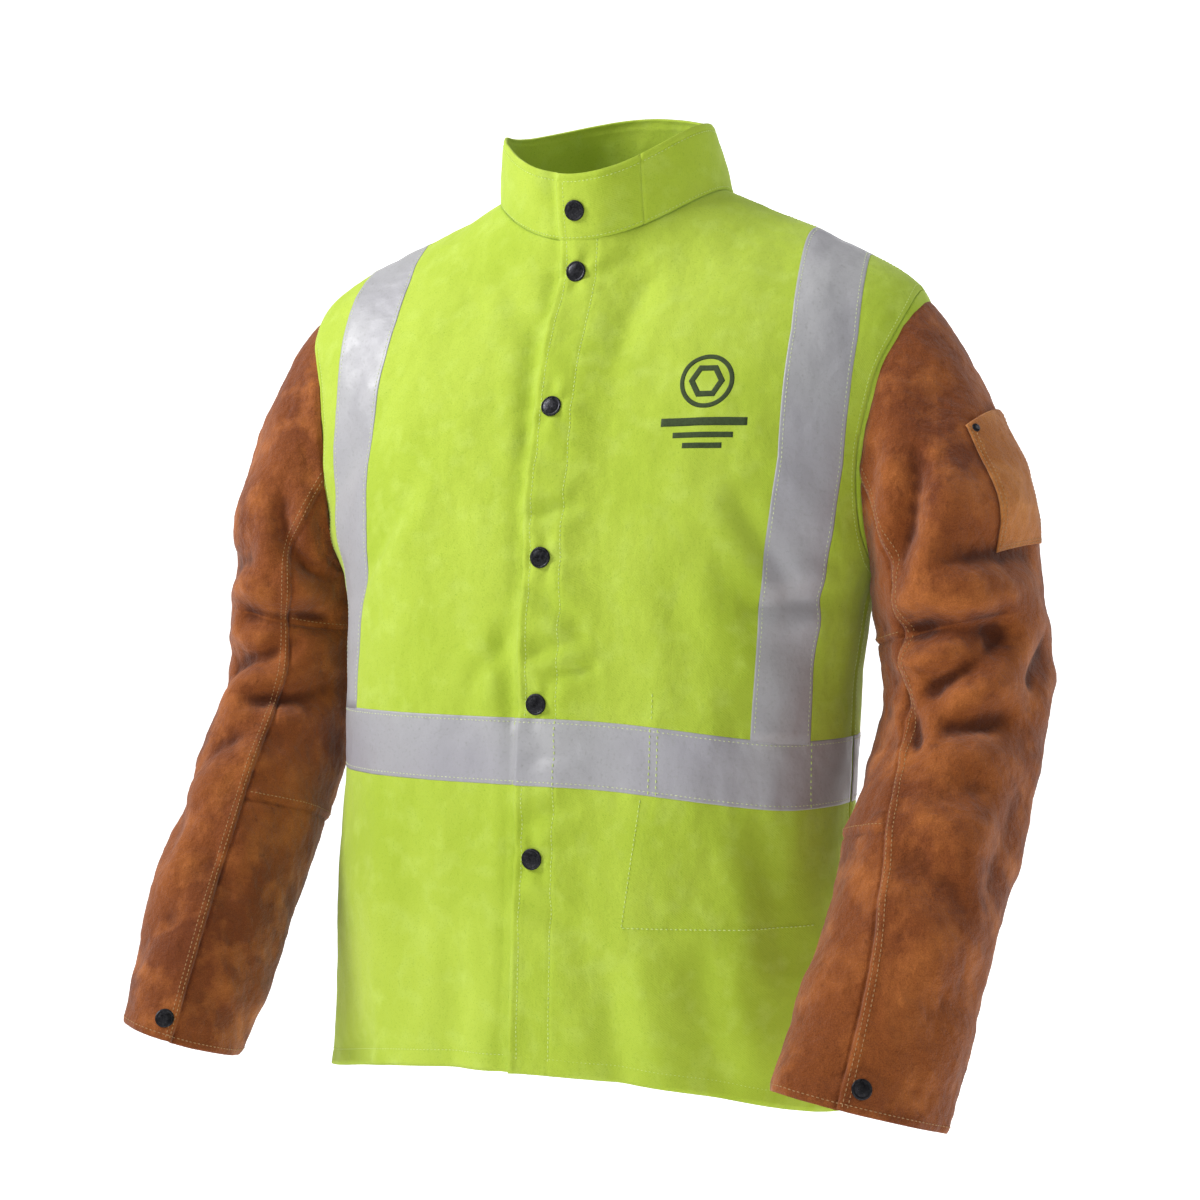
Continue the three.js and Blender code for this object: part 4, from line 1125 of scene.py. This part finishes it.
pocket_rows = []
for inset in (2.6, 6.2):
    du, dv = inset / POCKET_WIDE, inset / POCKET_LONG
    down = np.linspace(.03, 1 - dv, 50)
    pocket_rows += [seam_row(on_pocket, du, down), seam_row(on_pocket, 1 - du, down),
                    seam_row(on_pocket, np.linspace(du, 1 - du, 50), 1 - dv)]
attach(sew("pen_pocket_stitching", pocket_rows, TAN_THREAD, 3.2, 2.3, .42), "left_upper_sleeve")


# ---------- snaps and rivet ----------
def turn_metal(name, profile, node, body, rings=40):
    """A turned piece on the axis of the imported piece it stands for.

    The profile is radius and height in millimetres from its seat, from the outer pole inwards.
    """
    source = bpy.data.objects[node]
    spots = np.array([(source.matrix_world @ v.co)[:] for v in source.data.vertices])
    centre = spots.mean(0)
    reach = spots - centre
    # the axis is the direction in which the turned piece is thinnest
    values, vectors = np.linalg.eigh(reach.T @ reach)
    gaps = [abs(values[k] - values[(k + 1) % 3]) for k in range(3)]
    axis = vectors[:, (int(np.argmin(gaps)) + 2) % 3]
    outward = centre - np.array(BODY_AXIS[body](centre))
    axis = axis * np.sign(axis @ outward)
    heights = reach @ axis
    top = heights.max()
    high = profile[0][1]
    bm = bmesh.new()
    verts = [bm.verts.new((r * .001, 0, h * .001)) for r, h in profile]
    edges = [bm.edges.new(pair) for pair in zip(verts, verts[1:])]
    bmesh.ops.spin(bm, geom=verts + edges, cent=(0, 0, 0), axis=(0, 0, 1), angle=2 * math.pi,
                   steps=rings, use_merge=True)
    bmesh.ops.remove_doubles(bm, verts=bm.verts[:], dist=1e-6)
    bmesh.ops.recalc_face_normals(bm, faces=bm.faces[:])
    m = Vector(axis.tolist()).to_track_quat("Z", "Y").to_matrix().to_4x4()
    m.translation = (centre + axis * (top - high * .001)).tolist()
    bmesh.ops.transform(bm, matrix=m, verts=bm.verts[:])
    piece = settle(bm, name, METAL)
    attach(piece, body)
    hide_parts(node)
    return piece


def rounded(profile, steps=5, r=.5):
    """The profile with its corners eased."""
    out = [profile[0]]
    for a, b, c in zip(profile, profile[1:], profile[2:]):
        a, b, c = np.array(a, float), np.array(b, float), np.array(c, float)
        la, lc = np.linalg.norm(a - b), np.linalg.norm(c - b)
        k = min(r, .4 * la, .4 * lc)
        p, q = b + (a - b) * k / la, b + (c - b) * k / lc
        for i in range(steps):
            w = i / (steps - 1)
            out.append(tuple((1 - w) ** 2 * p + 2 * w * (1 - w) * b + w * w * q))
    return out + [profile[-1]]


BODY_AXIS = {
    "placket_flap": lambda c: (0, -.1, c[2]), "shell": lambda c: (0, -.1, c[2]),
    "left_upper_sleeve": lambda c: (.29, -.12, c[2]),
    "left_forearm_sleeve": lambda c: (.27, -.27, c[2]),
    "right_forearm_sleeve": lambda c: (-.28, -.27, c[2]),
}


def cap_profile(thick):
    top = 4.2 + thick + 1.4 + .5
    low = 4.2 + thick - .5
    return rounded([(0, top + 2.0), (2.2, top + 2.15), (4.6, top + 1.85), (6.6, top + 1.35),
                    (7.5, top + 1.75), (8.3, top + 1.2), (8.4, top), (2.2, top), (2.2, low),
                    (6.2, low), (6.2, low - 2.1), (0, low - 2.1)], r=.6)


def stud_profile(thick):
    head = thick + .5
    return rounded([(0, head + 1.5), (2.4, head + 1.5), (3, head + 1), (3, head + .5),
                    (5.2, head + .5), (5.2, head), (2.2, head), (2.2, -.5), (5.2, -.5), (5.2, -1.3),
                    (0, -1.5)], r=.3)


for i in range(6):
    label, thick = ("collar", 1.4) if i == 0 else ("front_%d" % i, 1.0)
    turn_metal("snap_cap_steel_" + label, cap_profile(thick), "snap_cap_" + label, "placket_flap")
    turn_metal("snap_stud_steel_" + label, stud_profile(thick), "snap_stud_" + label, "shell")
CUFF_SNAP = rounded([(0, 4.0), (3.2, 3.9), (5.4, 3.1), (6.3, 3.3), (7.3, 2.7), (7.5, 1.9), (2.2, 1.9),
                     (2.2, -.5), (5.6, -.5), (5.6, -2.4), (0, -2.4)], r=.5)
for word in ("left", "right"):
    turn_metal("cuff_snap_steel_" + word, CUFF_SNAP, "cuff_snap_" + word, word + "_forearm_sleeve")
turn_metal("pocket_rivet_steel", rounded([(0, 1.9), (1.8, 1.8), (3.2, 1.3), (3.6, .5), (1.6, .5),
                                          (1.6, -1.9), (3, -1.9), (3, -2.6), (0, -2.6)], r=.3),
           "pen_pocket_rivet", "left_upper_sleeve")


# ---------- printed mark on the chest ----------
def on_chest(x, z):
    t = t_at_z(z, angle_at_x(RINGS, x, .75 + 0 * x))
    for _ in range(3):
        t = t_at_z(z, angle_at_x(RINGS, x, t))
    return on_body(angle_at_x(RINGS, x, t), t, CLOTH + .12)


def printed(name, us, vs, shape, closed=False):
    piece = weave(name, us, vs, lambda u, v: on_chest(*shape(u, v)), 0, INK, closed=closed)
    solid = piece.modifiers.new("ink", "SOLIDIFY")
    solid.thickness, solid.offset = .0003, -1
    with_shell(piece)


MARK_X, MARK_Z = 122, -158


def ring_shape(u, v):
    a, r = 2 * math.pi * u, lerp(20.8, 17.3, v)
    return MARK_X + r * np.cos(a), MARK_Z + r * np.sin(a)


def hexagon_shape(u, v):
    a = 2 * math.pi * u
    r = lerp(14, 9, v) * math.cos(math.pi / 6) / np.cos((a % (math.pi / 3)) - math.pi / 6)
    return MARK_X + r * np.cos(a), MARK_Z + r * np.sin(a)


def bar_shape(wide, high, low):
    return lambda u, v: (MARK_X + wide * u, MARK_Z - low + high * v)


printed("mark_ring", np.linspace(0, 1, 97), np.linspace(0, 1, 4), ring_shape, closed=True)
printed("mark_hexagon", np.linspace(0, 1, 97), np.linspace(0, 1, 5), hexagon_shape, closed=True)
half = np.linspace(-.5, .5, 25)
printed("mark_bar_long", half, np.linspace(-.5, .5, 5), bar_shape(66, 6.2, 31))
printed("mark_bar_middle", half, np.linspace(-.5, .5, 5), bar_shape(46, 4.2, 41))
printed("mark_bar_short", half, np.linspace(-.5, .5, 5), bar_shape(30, 4.2, 49))
